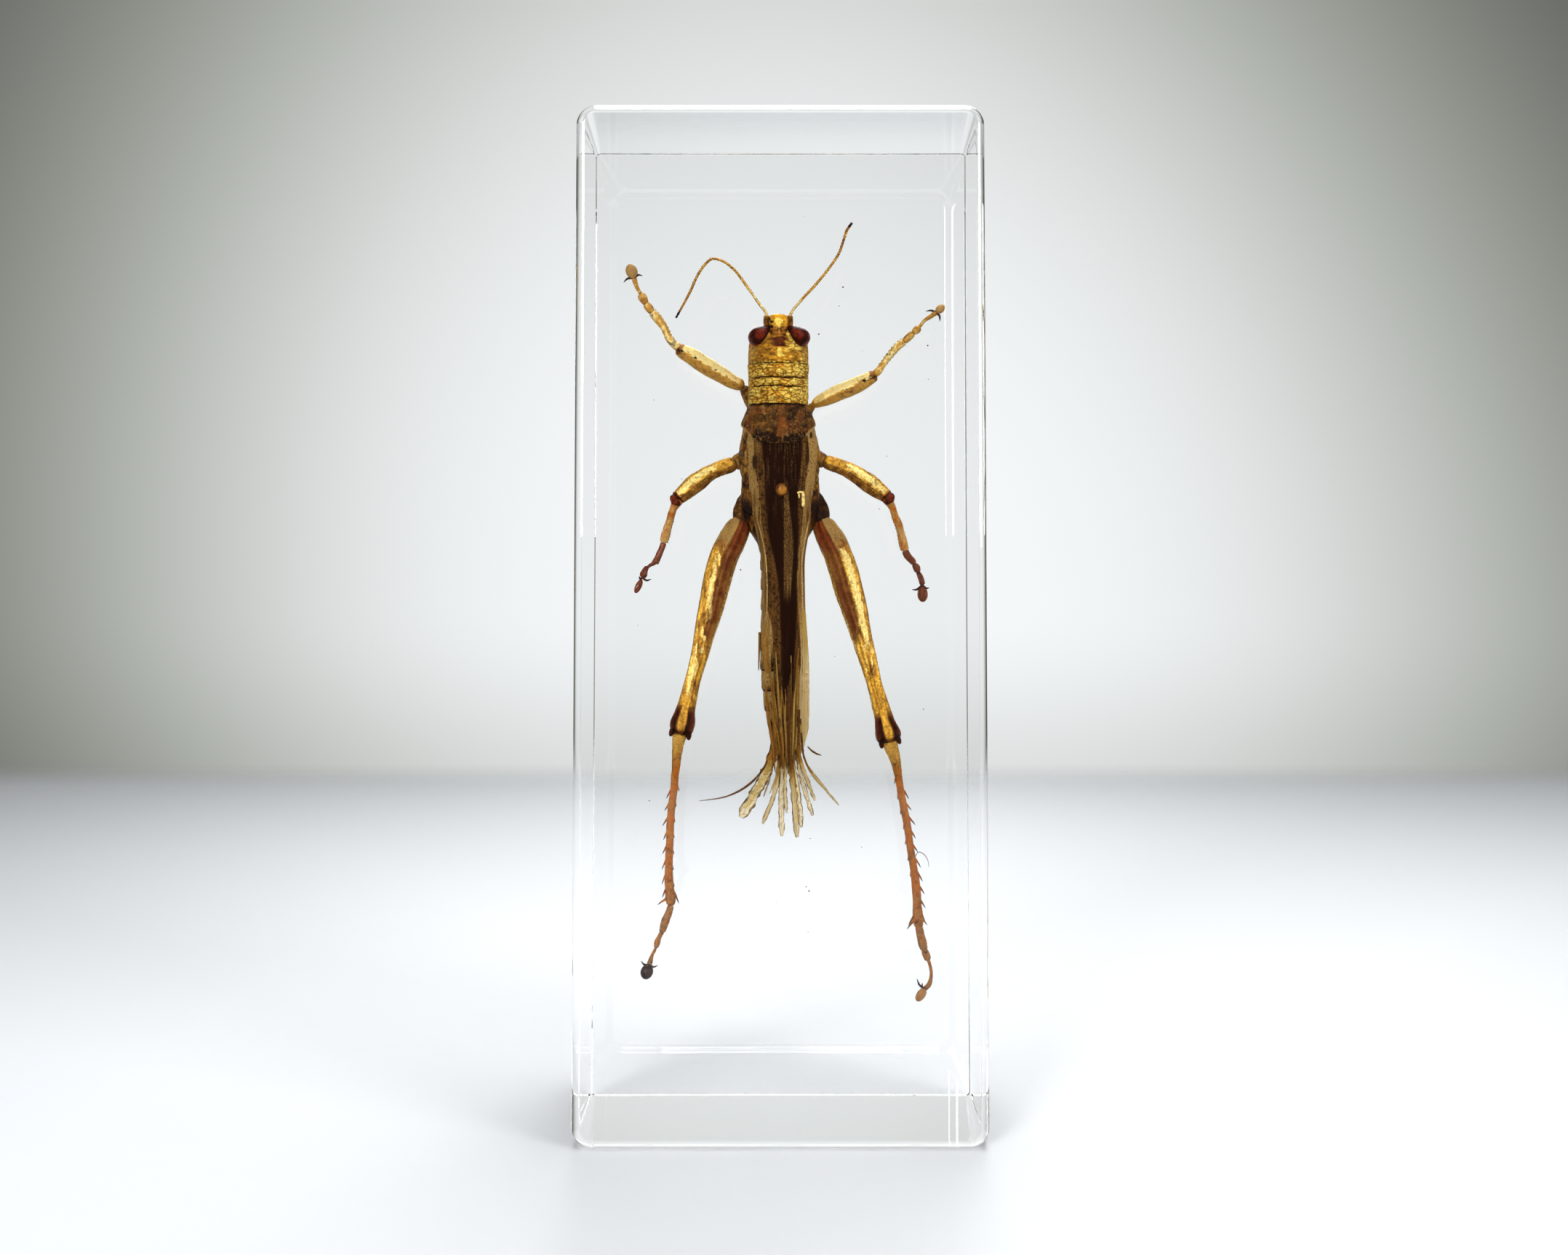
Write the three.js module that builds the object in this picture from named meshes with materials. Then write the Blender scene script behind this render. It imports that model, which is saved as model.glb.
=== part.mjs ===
// A cast block of clear resin that stands upright and has a dry insect sealed inside it.
//
// The block is one polished casting. The insect is set into it while the resin is liquid, so there
// is no hollow: the block is solid all through, and this model holds its outer shape.
//
// Units are millimetres, +Z is up. The origin is the middle of the base, where the block stands.
// The front face, which shows the insect's back, looks along -Y.

import * as THREE from 'three';

// driving dimensions of the block
const BASE_WIDTH = 44.5;
const TOP_WIDTH = 43.6; // the mould is a little narrower at its closed end, so that the casting comes out
const DEPTH = 28.5;
const HEIGHT = 111;

// The upright and level edges that run from front to back are rounded generously by polishing, and
// the edges around the front and back faces are only eased.
const CORNER_RADIUS = 2.2;
const FACE_EDGE_RADIUS = 1.1;
const CORNER_STEPS = 8;
const FACE_EDGE_STEPS = 5;

// Outline of the block seen from the front, with a quarter circle at each corner.
function blockOutline(width, height, radius) {
  const side = width / 2;
  const outline = new THREE.Shape();
  outline.moveTo(-side + radius, 0);
  outline.lineTo(side - radius, 0);
  outline.absarc(side - radius, radius, radius, -Math.PI / 2, 0, false);
  outline.lineTo(side, height - radius);
  outline.absarc(side - radius, height - radius, radius, 0, Math.PI / 2, false);
  outline.lineTo(-side + radius, height);
  outline.absarc(-side + radius, height - radius, radius, Math.PI / 2, Math.PI, false);
  outline.lineTo(-side, radius);
  outline.absarc(-side + radius, radius, radius, Math.PI, Math.PI * 1.5, false);
  return outline;
}

// The outline is carried from front to back, with a rounded edge at both ends.
function blockGeometry() {
  const geometry = new THREE.ExtrudeGeometry(blockOutline(BASE_WIDTH, HEIGHT, CORNER_RADIUS), {
    depth: DEPTH - 2 * FACE_EDGE_RADIUS,
    curveSegments: CORNER_STEPS,
    bevelEnabled: true,
    bevelThickness: FACE_EDGE_RADIUS,
    bevelSize: FACE_EDGE_RADIUS,
    bevelOffset: -FACE_EDGE_RADIUS,
    bevelSegments: FACE_EDGE_STEPS,
  });
  // the extrusion runs along +Z, so it is centred on its depth and then stood up
  geometry.translate(0, 0, -DEPTH / 2 + FACE_EDGE_RADIUS);
  geometry.rotateX(Math.PI / 2);
  taperWidth(geometry, TOP_WIDTH / BASE_WIDTH);
  return geometry;
}

// Narrows the shape evenly from full width at the base to topShare of it at the top.
function taperWidth(geometry, topShare) {
  const position = geometry.attributes.position;
  for (let i = 0; i < position.count; i++) {
    const heightShare = position.getZ(i) / HEIGHT;
    position.setX(i, position.getX(i) * (1 - heightShare * (1 - topShare)));
  }
  position.needsUpdate = true;
  geometry.computeVertexNormals();
}

const clearResin = new THREE.MeshStandardMaterial({
  color: 0xe9ede6,
  roughness: 0.04,
  metalness: 0,
  transparent: true,
  opacity: 0.3,
});

const resinBlock = new THREE.Mesh(blockGeometry(), clearResin);
resinBlock.name = 'resin_block';

const specimenBlock = new THREE.Group();
specimenBlock.add(resinBlock);

export default specimenBlock;
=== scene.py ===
"""A dried grasshopper cast upright in a clear resin block, on a plain pale table.

All sizes in the classes below are millimetres in the block's own frame: +Z is up and towards the
insect's head, -Y is the front face, which shows the insect's back, and +X is to the right.
"""

import logging
import math
from dataclasses import dataclass, field
from enum import Enum
from typing import Any, Sequence

import bpy
import numpy as np
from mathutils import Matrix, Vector


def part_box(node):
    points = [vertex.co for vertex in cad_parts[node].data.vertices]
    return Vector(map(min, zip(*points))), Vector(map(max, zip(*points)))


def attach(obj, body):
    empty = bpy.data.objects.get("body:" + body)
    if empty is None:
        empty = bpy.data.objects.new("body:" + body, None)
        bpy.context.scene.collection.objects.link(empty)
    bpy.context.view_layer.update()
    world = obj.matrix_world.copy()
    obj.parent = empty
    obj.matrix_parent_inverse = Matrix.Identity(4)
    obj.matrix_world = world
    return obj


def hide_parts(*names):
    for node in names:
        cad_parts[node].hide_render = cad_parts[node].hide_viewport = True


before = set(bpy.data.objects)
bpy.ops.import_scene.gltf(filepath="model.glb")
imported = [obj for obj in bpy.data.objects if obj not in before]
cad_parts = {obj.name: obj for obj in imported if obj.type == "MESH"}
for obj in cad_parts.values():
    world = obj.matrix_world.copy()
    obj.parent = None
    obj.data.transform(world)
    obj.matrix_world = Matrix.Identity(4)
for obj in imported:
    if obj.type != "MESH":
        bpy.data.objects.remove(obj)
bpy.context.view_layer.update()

log = logging.getLogger("specimen")

MM = 0.001  # metres in a millimetre
BODY = "root"
INWARD = (0.0, 1.0, 0.0)  # from the front face to the back
IMAGE_WIDTH = 2156  # pixels across the frame
Array = np.ndarray
Stations = Sequence[Sequence[float]]


# ---------------------------------------------------------------- surfaces worked out with numpy


def smooth(low: float, high: float, value: Array) -> Array:
    """Rises smoothly from 0 at low to 1 at high: the cubic 3t^2 - 2t^3.

    Args:
        low: where the rise starts.
        high: where the rise ends.
        value: the values to look up.

    Returns:
        An array like value, between 0 and 1.
    """
    share = np.clip((value - low) / (high - low), 0.0, 1.0)
    return share * share * (3.0 - 2.0 * share)


def hill(value: Array, centre: float, width: float) -> Array:
    """A bell curve of height 1 at centre: e to the power of minus the squared distance in widths."""
    return np.exp(-(((value - centre) / width) ** 2))


@dataclass(frozen=True)
class Lumps:
    """Seeded smooth noise in space: random heights on a lattice, blended between the eight corners.

    Attributes:
        seed: picks the random heights.
        cell: size of a lattice cell along X, Y and Z, in mm.
        octaves: layers of noise, each half as big and half as strong as the last.
    """

    seed: int
    cell: tuple[float, float, float]
    octaves: int = 1

    def at(self, points: Array) -> Array:
        """Heights between about -1 and 1.

        Args:
            points: places in mm, in an array whose last axis is X, Y, Z.

        Returns:
            One height for each place.
        """
        side = 32
        table = np.random.default_rng(self.seed).uniform(-1.0, 1.0, (side, side, side))
        total = np.zeros(points.shape[:-1])
        weight = 1.0
        for octave in range(self.octaves):
            scaled = points / (np.array(self.cell) / 2.0**octave) + 7.3 * octave
            corner = np.floor(scaled).astype(int)
            share = scaled - corner
            share = share * share * (3.0 - 2.0 * share)
            value = np.zeros(total.shape)
            for step in range(8):
                offset = np.array([step & 1, step >> 1 & 1, step >> 2 & 1])
                index = (corner + offset) % side
                part = np.where(offset == 1, share, 1.0 - share).prod(-1)
                value += part * table[index[..., 0], index[..., 1], index[..., 2]]
            total += weight * value
            weight *= 0.5
        return total


@dataclass
class Patch:
    """A surface as a grid of points, with named values at each point for its finish to read.

    Attributes:
        points: rows by columns by 3, in mm.
        wraps: True if the last column joins the first, as around a rod.
        capped: True if both ends are closed with a fan of triangles.
        paint: named values, rows by columns.
        distance: how far along each row is, in mm.
        share: the same from 0 to 1.
        angle: each column's angle.
        radial: each point's outward direction.
    """

    points: Array
    wraps: bool = True
    capped: bool = True
    paint: dict[str, Array] = field(default_factory=dict)
    distance: Array | None = None
    share: Array | None = None
    angle: Array | None = None
    radial: Array | None = None

    def mirror(self) -> "Patch":
        """Turns the surface inside out by reversing its columns."""
        shape = self.points.shape[:2]
        self.points = self.points[:, ::-1]
        self.paint = {
            name: np.broadcast_to(grid, shape)[:, ::-1] for name, grid in self.paint.items()
        }
        return self

    def face(self, direction: Sequence[float]) -> "Patch":
        """Turns an open sheet round if most of it looks away from the direction."""
        across = np.diff(self.points, axis=1)[:-1]
        along = np.diff(self.points, axis=0)[:, :-1]
        if (np.cross(across, along).sum((0, 1)) * np.asarray(direction)).sum() < 0:
            self.mirror()
        return self

    def swell(self, height: Array) -> "Patch":
        """Moves each point outward by a height in mm, and returns the surface."""
        self.points = self.points + np.asarray(height)[..., None] * self.radial
        return self

    def lumps(self, seed: int, cell: tuple[float, float, float], octaves: int = 2) -> Array:
        """Seeded noise at the surface's own points, as Lumps gives it."""
        return Lumps(seed, cell, octaves).at(self.points)

    def coat(self, **paint: Array) -> "Patch":
        """Adds painted values, and returns the surface."""
        shape = self.points.shape[:2]
        self.paint.update({key: np.broadcast_to(value, shape) for key, value in paint.items()})
        return self

    def faces(self) -> tuple[Array, Array]:
        """Corner numbers of the grid's quads and of the end caps' triangles.

        Returns:
            The quads, and the triangles, whose last two corner numbers are the poles.
        """
        rows, columns = self.points.shape[:2]
        number = np.arange(rows * columns).reshape(rows, columns)
        right = np.roll(number, -1, axis=1)
        if not self.wraps:
            number, right = number[:, :-1], right[:, :-1]
        quads = np.stack([number[:-1], right[:-1], right[1:], number[1:]], -1).reshape(-1, 4)
        if not self.capped:
            return quads, np.zeros((0, 3), int)
        first, last = rows * columns, rows * columns + 1
        start = np.stack([right[0], number[0], np.full(len(number[0]), first)], -1)
        end = np.stack([number[-1], right[-1], np.full(len(number[0]), last)], -1)
        return quads, np.concatenate([start, end])

    def vertices(self) -> Array:
        """All points, with the two poles last if the ends are capped."""
        flat = self.points.reshape(-1, 3)
        if not self.capped:
            return flat
        return np.concatenate([flat, self.points[[0, -1]].mean(1)])

    def values(self, name: str) -> Array:
        """The named value at every vertex, 0 where this surface has none."""
        grid = self.paint.get(name, np.zeros(self.points.shape[:2]))
        grid = np.broadcast_to(grid, self.points.shape[:2])
        if not self.capped:
            return grid.ravel()
        return np.concatenate([grid.ravel(), grid[[0, -1]].mean(1)])

    def outward(self) -> "Patch":
        """Turns a closed surface round if it encloses a negative volume, and returns it."""
        quads, fans = self.faces()
        corners = self.vertices()
        triangles = np.concatenate([quads[:, [0, 1, 2]], quads[:, [0, 2, 3]], fans])
        a, b, c = (corners[triangles[:, side]] for side in range(3))
        if self.wraps and self.capped and (np.cross(a, b) * c).sum() < 0:
            self.mirror()
        return self


def make_piece(
    name: str,
    patches: Sequence[Patch],
    material: bpy.types.Material,
    thickness: float = 0.0,
) -> bpy.types.Object:
    """Joins surfaces into one mesh object that rides on the block.

    Args:
        name: the piece's name.
        patches: its surfaces.
        material: its finish.
        thickness: wall given to open sheets, in mm.

    Returns:
        The new object, with its place in its mesh.
    """
    vertices, quads, fans, count = [], [], [], 0
    names = sorted({key for patch in patches for key in patch.paint})
    paint: dict[str, list[Array]] = {key: [] for key in names}
    for patch in patches:
        patch.outward()
        four, three = patch.faces()
        vertices.append(patch.vertices())
        quads.append(four + count)
        fans.append(three + count)
        count += len(vertices[-1])
        for key in names:
            paint[key].append(patch.values(key))
    four, three = np.concatenate(quads), np.concatenate(fans)
    mesh = bpy.data.meshes.new(name)
    mesh.vertices.add(count)
    mesh.vertices.foreach_set("co", (np.concatenate(vertices) * MM).astype(np.float32).ravel())
    loops = np.concatenate([four.ravel(), three.ravel()])
    sizes = np.concatenate([np.full(len(four), 4), np.full(len(three), 3)])
    mesh.loops.add(len(loops))
    mesh.loops.foreach_set("vertex_index", loops.astype(np.int32))
    mesh.polygons.add(len(sizes))
    starts = np.concatenate([[0], np.cumsum(sizes)[:-1]])
    mesh.polygons.foreach_set("loop_start", starts.astype(np.int32))
    mesh.update(calc_edges=True)
    mesh.validate()
    mesh.shade_smooth()
    for key in names:
        attribute = mesh.attributes.new(key, "FLOAT", "POINT")
        attribute.data.foreach_set("value", np.concatenate(paint[key]).astype(np.float32))
    mesh.materials.append(material)
    piece = bpy.data.objects.new(name, mesh)
    bpy.context.scene.collection.objects.link(piece)
    if thickness:
        wall = piece.modifiers.new("wall", "SOLIDIFY")
        wall.thickness = thickness * MM
        wall.offset = -1.0
    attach(piece, BODY)
    log.info("%s: %d faces", name, len(sizes))
    return piece


def hermite(knots: Array, rows: Array, at: Array) -> Array:
    """Cubic Hermite pieces through rows of numbers, with the rows' own slopes.

    Args:
        knots: where each row lies.
        rows: the values there.
        at: where to look up, in one dimension; held inside the knots.

    Returns:
        One row for each place.
    """
    at = np.clip(at, knots[0], knots[-1])
    slopes = np.gradient(rows, knots, axis=0)
    piece = np.clip(np.searchsorted(knots, at, "right") - 1, 0, len(rows) - 2)
    length = (knots[piece + 1] - knots[piece])[:, None]
    t = (at - knots[piece])[:, None] / length
    start = (2 * t**3 - 3 * t**2 + 1) * rows[piece] + (t**3 - 2 * t**2 + t) * length * slopes[piece]
    end = (3 * t**2 - 2 * t**3) * rows[piece + 1] + (t**3 - t**2) * length * slopes[piece + 1]
    return start + end


def through(stations: Stations, at: Array | None = None, count: int = 60) -> Array:
    """A smooth curve through stations.

    Args:
        stations: rows that start with X, Y and Z; any further columns are carried along.
        at: distances along the chords, in mm; evenly spaced if left out.
        count: how many even steps.

    Returns:
        One row for each distance.
    """
    rows = np.asarray(stations, float)
    steps = np.linalg.norm(np.diff(rows[:, :3], axis=0), axis=1)
    knots = np.concatenate([[0.0], np.cumsum(steps)])
    at = np.linspace(0.0, knots[-1], count) if at is None else at
    return hermite(knots, rows, at)


def level(at: Array, pairs: Stations) -> Array:
    """A smooth curve of one value through pairs of place and value.

    Args:
        at: places to look up, in any shape.
        pairs: places in rising order, each with its value.

    Returns:
        The values, in the shape of at.
    """
    table = np.asarray(pairs, float)
    return hermite(table[:, 0], table[:, 1:], at.ravel())[:, 0].reshape(at.shape)


def lay(rows: Stations, near: float, far: float, thick: float = 1.0) -> Array:
    """Gives flat stations their depth.

    Args:
        rows: X, Z and half width of each station, in mm.
        near: Y at the start.
        far: Y at the end; it changes evenly along the way.
        thick: half depth as a share of the half width.

    Returns:
        Rows of X, Y, Z, half width and half depth.
    """
    flat = np.asarray(rows, float)
    steps = np.linalg.norm(np.diff(flat[:, :2], axis=0), axis=1)
    share = np.concatenate([[0.0], np.cumsum(steps)]) / steps.sum()
    depth = near + (far - near) * share
    return np.stack([flat[:, 0], depth, flat[:, 1], flat[:, 2], flat[:, 2] * thick], -1)


def chord_length(stations: Stations) -> float:
    """The summed distance between the stations."""
    return float(np.linalg.norm(np.diff(np.asarray(stations, float)[:, :3], axis=0), axis=1).sum())


def unit(vectors: Array) -> Array:
    """The vectors at length 1."""
    return vectors / np.maximum(np.linalg.norm(vectors, axis=-1, keepdims=True), 1e-9)


def power(value: Array, exponent: float) -> Array:
    """The value's size raised to a power, with its sign kept."""
    return np.sign(value) * np.abs(value) ** exponent


def rod(
    stations: Stations,
    rows: int = 40,
    sides: int = 20,
    ends: tuple[float, float] = (0.3, 0.3),
    roundness: float = 1.0,
    facing: Sequence[float] = INWARD,
    steps: int = 7,
) -> Patch:
    """A closed limb: an oval carried along a smooth curve, its ends rounded like half an egg.

    A point is the curve's point, plus the cosine of its angle times the half width along the side
    direction, plus the sine times the half depth along the depth direction. The roundness is a
    power of the cosine and the sine.

    Args:
        stations: rows of X, Y, Z, half width and half depth, in mm.
        rows: rings between the rounded ends.
        sides: points in a ring.
        ends: length of the rounded start and end, in mm.
        roundness: 1 for an oval section, towards 0 for a rectangle.
        facing: the direction of depth.
        steps: rings in each rounded end.

    Returns:
        The surface, with the distance, share, angle and outward direction of each point.
    """
    length = chord_length(stations)
    quarter = np.linspace(0.0, math.pi / 2, steps + 1)[1:]
    start = ends[0] * (1.0 - np.cos(quarter))
    end = length - ends[1] * (1.0 - np.cos(quarter[::-1]))
    middle = np.linspace(ends[0], length - ends[1], rows + 2)[1:-1]
    distance = np.concatenate([start, middle, end])
    swell = np.concatenate([np.sin(quarter), np.ones(rows), np.sin(quarter[::-1])])
    curve = through(stations, distance)
    tangent = unit(np.gradient(curve[:, :3], distance, axis=0))
    side = unit(np.cross(tangent, np.asarray(facing, float)))
    depth = np.cross(side, tangent)
    angle = np.linspace(0.0, 2.0 * math.pi, sides, endpoint=False)[None]
    share = (distance / length)[:, None]
    across, deep = power(np.cos(angle), roundness), power(np.sin(angle), roundness)
    across = (across * (curve[:, 3] * swell)[:, None])[..., None] * side[:, None]
    deep = (deep * (curve[:, 4] * swell)[:, None])[..., None] * depth[:, None]
    patch = Patch(curve[:, None, :3] + across + deep)
    patch.distance, patch.share, patch.angle = distance[:, None], share, angle
    patch.radial = unit(across + deep)
    return patch


def ovoid(centre: Sequence[float], axes: Stations, rows: int = 24, sides: int = 32) -> Patch:
    """An egg: the sine and cosine of latitude and longitude along three half axes.

    Args:
        centre: its middle, in mm.
        axes: three half axes, as vectors in mm; the first runs through the poles.
        rows: rings.
        sides: points in a ring.

    Returns:
        The closed surface.
    """
    latitude = np.linspace(0.0, math.pi, rows + 2)[1:-1, None]
    longitude = np.linspace(0.0, 2.0 * math.pi, sides, endpoint=False)[None]
    parts = (
        np.cos(latitude),
        np.sin(latitude) * np.cos(longitude),
        np.sin(latitude) * np.sin(longitude),
    )
    out = sum(part[..., None] * np.asarray(axis, float) for part, axis in zip(parts, axes))
    patch = Patch(np.asarray(centre, float) + out)
    patch.share, patch.angle = latitude / math.pi, longitude
    patch.radial = unit(out)
    return patch


# ---------------------------------------------------------------- shader maths


class Signal:
    """A shader socket; arithmetic on it adds Math nodes."""

    def __init__(self, graph: "Graph", socket: Any) -> None:
        """Wraps a node's output socket."""
        self.graph = graph
        self.socket = socket

    def maths(self, operation: str, *others: Any, clamp: bool = False) -> "Signal":
        """Adds a Math node with this value first.

        Args:
            operation: the Math node's operation.
            others: the other values, numbers or signals.
            clamp: True to hold the result between 0 and 1.

        Returns:
            The node's result.
        """
        settings = {"operation": operation, "use_clamp": clamp}
        inputs = dict(enumerate((self, *others)))
        return self.graph.node("ShaderNodeMath", settings, inputs)

    def __add__(self, other: Any) -> "Signal":
        """Sum."""
        return self.maths("ADD", other)

    __radd__ = __add__

    def __sub__(self, other: Any) -> "Signal":
        """Difference."""
        return self.maths("SUBTRACT", other)

    def __rsub__(self, other: Any) -> "Signal":
        """Reflected difference."""
        return (self * -1.0) + other

    def __mul__(self, other: Any) -> "Signal":
        """Product."""
        return self.maths("MULTIPLY", other)

    __rmul__ = __mul__

    def __pow__(self, other: Any) -> "Signal":
        """Power."""
        return self.maths("POWER", other)

    def clip(self) -> "Signal":
        """The value held between 0 and 1."""
        return self.maths("ADD", 0.0, clamp=True)

    def top(self, other: Any) -> "Signal":
        """The greater of two values."""
        return self.maths("MAXIMUM", other)

    def rise(self, low: float, high: float) -> "Signal":
        """Goes smoothly from 0 at low to 1 at high."""
        return self.graph.node(
            "ShaderNodeMapRange",
            {"interpolation_type": "SMOOTHSTEP"},
            {"Value": self, "From Min": low, "From Max": high},
        )


class Graph:
    """A material's or world's node tree, filled by method calls."""

    def __init__(self, owner: Any) -> None:
        """Empties the owner's node tree."""
        self.owner = owner
        owner.use_nodes = True
        self.tree = owner.node_tree
        self.tree.nodes.clear()

    def node(
        self,
        kind: str,
        settings: dict[str, Any] | None = None,
        inputs: dict[Any, Any] | None = None,
        output: int | str = 0,
    ) -> Signal:
        """Adds one node.

        Args:
            kind: the node's type.
            settings: its properties, which are set first.
            inputs: values or signals for its sockets, by name or number.
            output: the output socket that is returned.

        Returns:
            The output, as a signal.
        """
        new = self.tree.nodes.new(kind)
        for key, value in (settings or {}).items():
            setattr(new, key, value)
        for key, value in (inputs or {}).items():
            if isinstance(value, Signal):
                self.tree.links.new(value.socket, new.inputs[key])
            else:
                new.inputs[key].default_value = value
        return Signal(self, new.outputs[output]) if new.outputs else Signal(self, new)

    def attribute(self, name: str) -> Signal:
        """A value painted on the mesh."""
        return self.node("ShaderNodeAttribute", {"attribute_name": name}, output="Fac")

    def place(self, scale: Sequence[float] = (1.0, 1.0, 1.0)) -> Signal:
        """Object coordinates in mm, stretched by scale."""
        where = self.node("ShaderNodeTexCoord", output="Object")
        stretch = [value / MM for value in scale]
        return self.node("ShaderNodeMapping", None, {"Vector": where, "Scale": stretch})

    def noise(self, where: Signal, scale: float, detail: float = 2.0) -> Signal:
        """Noise between 0 and 1 with scale cells in a mm."""
        return self.node(
            "ShaderNodeTexNoise", None, {"Vector": where, "Scale": scale, "Detail": detail}
        )

    def warp(self, where: Signal, scale: float, reach: float) -> Signal:
        """Places shaken by noise of the scale, up to reach apart."""
        shake = self.node("ShaderNodeTexNoise", None, {"Vector": where, "Scale": scale}, "Color")
        settings = {"operation": "MULTIPLY_ADD"}
        return self.node("ShaderNodeVectorMath", settings, {0: shake, 1: (reach,) * 3, 2: where})

    def cells(self, where: Signal, scale: float, feature: str = "F1") -> Signal:
        """Distance to the nearest of scattered points, scale of them in a mm."""
        return self.node(
            "ShaderNodeTexVoronoi", {"feature": feature}, {"Vector": where, "Scale": scale}, 0
        )

    def mix(self, share: Any, first: Any, second: Any) -> Signal:
        """A colour between two colours."""
        settings = {"data_type": "RGBA", "clamp_factor": True}
        return self.node("ShaderNodeMix", settings, {0: share, 6: first, 7: second}, 2)

    def bump(self, height: Signal, distance: float, strength: float = 1.0) -> Signal:
        """A normal tilted by the slope of height, which spans distance mm."""
        values = {"Height": height, "Distance": distance * MM, "Strength": strength}
        return self.node("ShaderNodeBump", None, values)

    def principled(self, volume: Signal | None = None, **inputs: Any) -> bpy.types.Material:
        """Ends a material with a Principled shader.

        Args:
            volume: a shader for what lies inside the surface.
            inputs: values or signals for its sockets, named with underscores for spaces.

        Returns:
            The finished material.
        """
        named = {key.replace("_", " "): value for key, value in inputs.items()}
        shaders = {"Surface": self.node("ShaderNodeBsdfPrincipled", None, named)}
        if volume is not None:
            shaders["Volume"] = volume
        self.node("ShaderNodeOutputMaterial", None, shaders)
        return self.owner


Colour = tuple[float, float, float, float]


def rgb(red: float, green: float, blue: float) -> Colour:
    """An opaque colour from linear red, green and blue."""
    return (red, green, blue, 1.0)


@dataclass(frozen=True)
class Resin:
    """Clear cast resin: plain transmission with a faint absorption.

    Attributes:
        ior: how strongly it bends light.
        tint: colour of light that has crossed it.
        density: absorption in a metre.
    """

    ior: float = 1.55
    tint: Colour = rgb(0.955, 0.985, 0.97)
    density: float = 4.0

    def material(self) -> bpy.types.Material:
        """Builds the material."""
        graph = Graph(bpy.data.materials.new("clear_resin"))
        absorption = {"Color": self.tint, "Density": self.density}
        return graph.principled(
            graph.node("ShaderNodeVolumeAbsorption", None, absorption),
            Base_Color=rgb(1.0, 1.0, 1.0),
            Roughness=0.0,
            IOR=self.ior,
            Transmission_Weight=1.0,
        )


# ---------------------------------------------------------------- the block


@dataclass
class Block:
    """The cast block: a rounded outline carried from front to back, narrower at the top.

    Attributes:
        top_share: width at the top as a share of the width at the base.
        corners: radius of the edges that run from front to back, at the front and at the back.
        front_edge: radius of the edges around the front face.
        back_edge: radius of the edges around the back face.
        corner_steps: steps in the quarter circle of a corner.
        edge_steps: steps in the rounding of a face's edge.
        shelf: a thin flat rim beside each rounding, which keeps the flat faces' shading flat.
    """

    top_share: float = 43.6 / 44.5
    corners: tuple[float, float] = (2.2, 0.5)
    front_edge: float = 1.1
    back_edge: float = 0.12
    corner_steps: int = 20
    edge_steps: int = 14
    shelf: float = 0.03

    def outline(self, width: float, height: float, corner: float) -> tuple[Array, Array]:
        """The rounded rectangle, as points and outward directions in X and Z.

        Args:
            width: width at the base, in mm.
            height: height, in mm.
            corner: radius of its corners, in mm.

        Returns:
            Points and unit normals, anticlockwise seen from the front.
        """
        quarter = np.linspace(0.0, math.pi / 2, self.corner_steps + 1)
        points, normals = [], []
        places = ((1, 0), (1, 1), (-1, 1), (-1, 0))
        for turn, (right, top) in enumerate(places):
            angle = quarter + (turn - 1) * math.pi / 2
            normal = np.stack([np.cos(angle), np.sin(angle)], -1)
            centre = np.array(
                [
                    right * (width / 2 - corner),
                    height - corner if top else corner,
                ]
            )
            arc = centre + corner * normal
            along = np.array([-normal[:, 1], normal[:, 0]]).T
            points += [arc[:1] - along[:1] * self.shelf, arc, arc[-1:] + along[-1:] * self.shelf]
            normals += [normal[:1], normal, normal[-1:]]
        return np.concatenate(points), np.concatenate(normals)

    def rounding(self, radius: float, face: float) -> tuple[Array, Array]:
        """A quarter circle from a face's rim to the side wall, with a thin shelf at both ends.

        Args:
            radius: the edge's radius.
            face: distance of the face from the block's middle.

        Returns:
            How far each ring lies inside the outline, and how far from the block's middle.
        """
        quarter = np.linspace(0.0, math.pi / 2, self.edge_steps + 1)
        inset = radius * (1.0 - np.sin(quarter))
        reach = face - radius * (1.0 - np.cos(quarter))
        inset = np.concatenate([[radius + self.shelf], inset, [0.0]])
        return inset, np.concatenate([[face], reach, [face - radius - self.shelf]])

    def build(self, material: bpy.types.Material) -> bpy.types.Object:
        """Makes the fine smooth block in the CAD block's box and shows it instead."""
        low, high = (np.array(corner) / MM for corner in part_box("resin_block"))
        width, depth, height = high - low
        front_inset, front_reach = self.rounding(self.front_edge, depth / 2)
        back_inset, back_reach = self.rounding(self.back_edge, depth / 2)
        inset = np.concatenate([front_inset, back_inset[::-1]])
        reach = np.concatenate([front_reach, -back_reach[::-1]])
        front, back = (self.outline(width, height, corner) for corner in self.corners)
        share = (0.5 - reach / depth)[:, None, None]
        rings = front[0] + (back[0] - front[0]) * share - inset[:, None, None] * front[1]
        y = np.broadcast_to(-reach[:, None], rings.shape[:2])
        narrowing = 1.0 - (1.0 - self.top_share) * rings[..., 1] / height
        grid = np.stack([rings[..., 0] * narrowing, y, rings[..., 1]], -1)
        piece = make_piece("block", [Patch(grid)], material)
        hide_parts("resin_block")
        return piece


# ---------------------------------------------------------------- finishes of the insect


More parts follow.
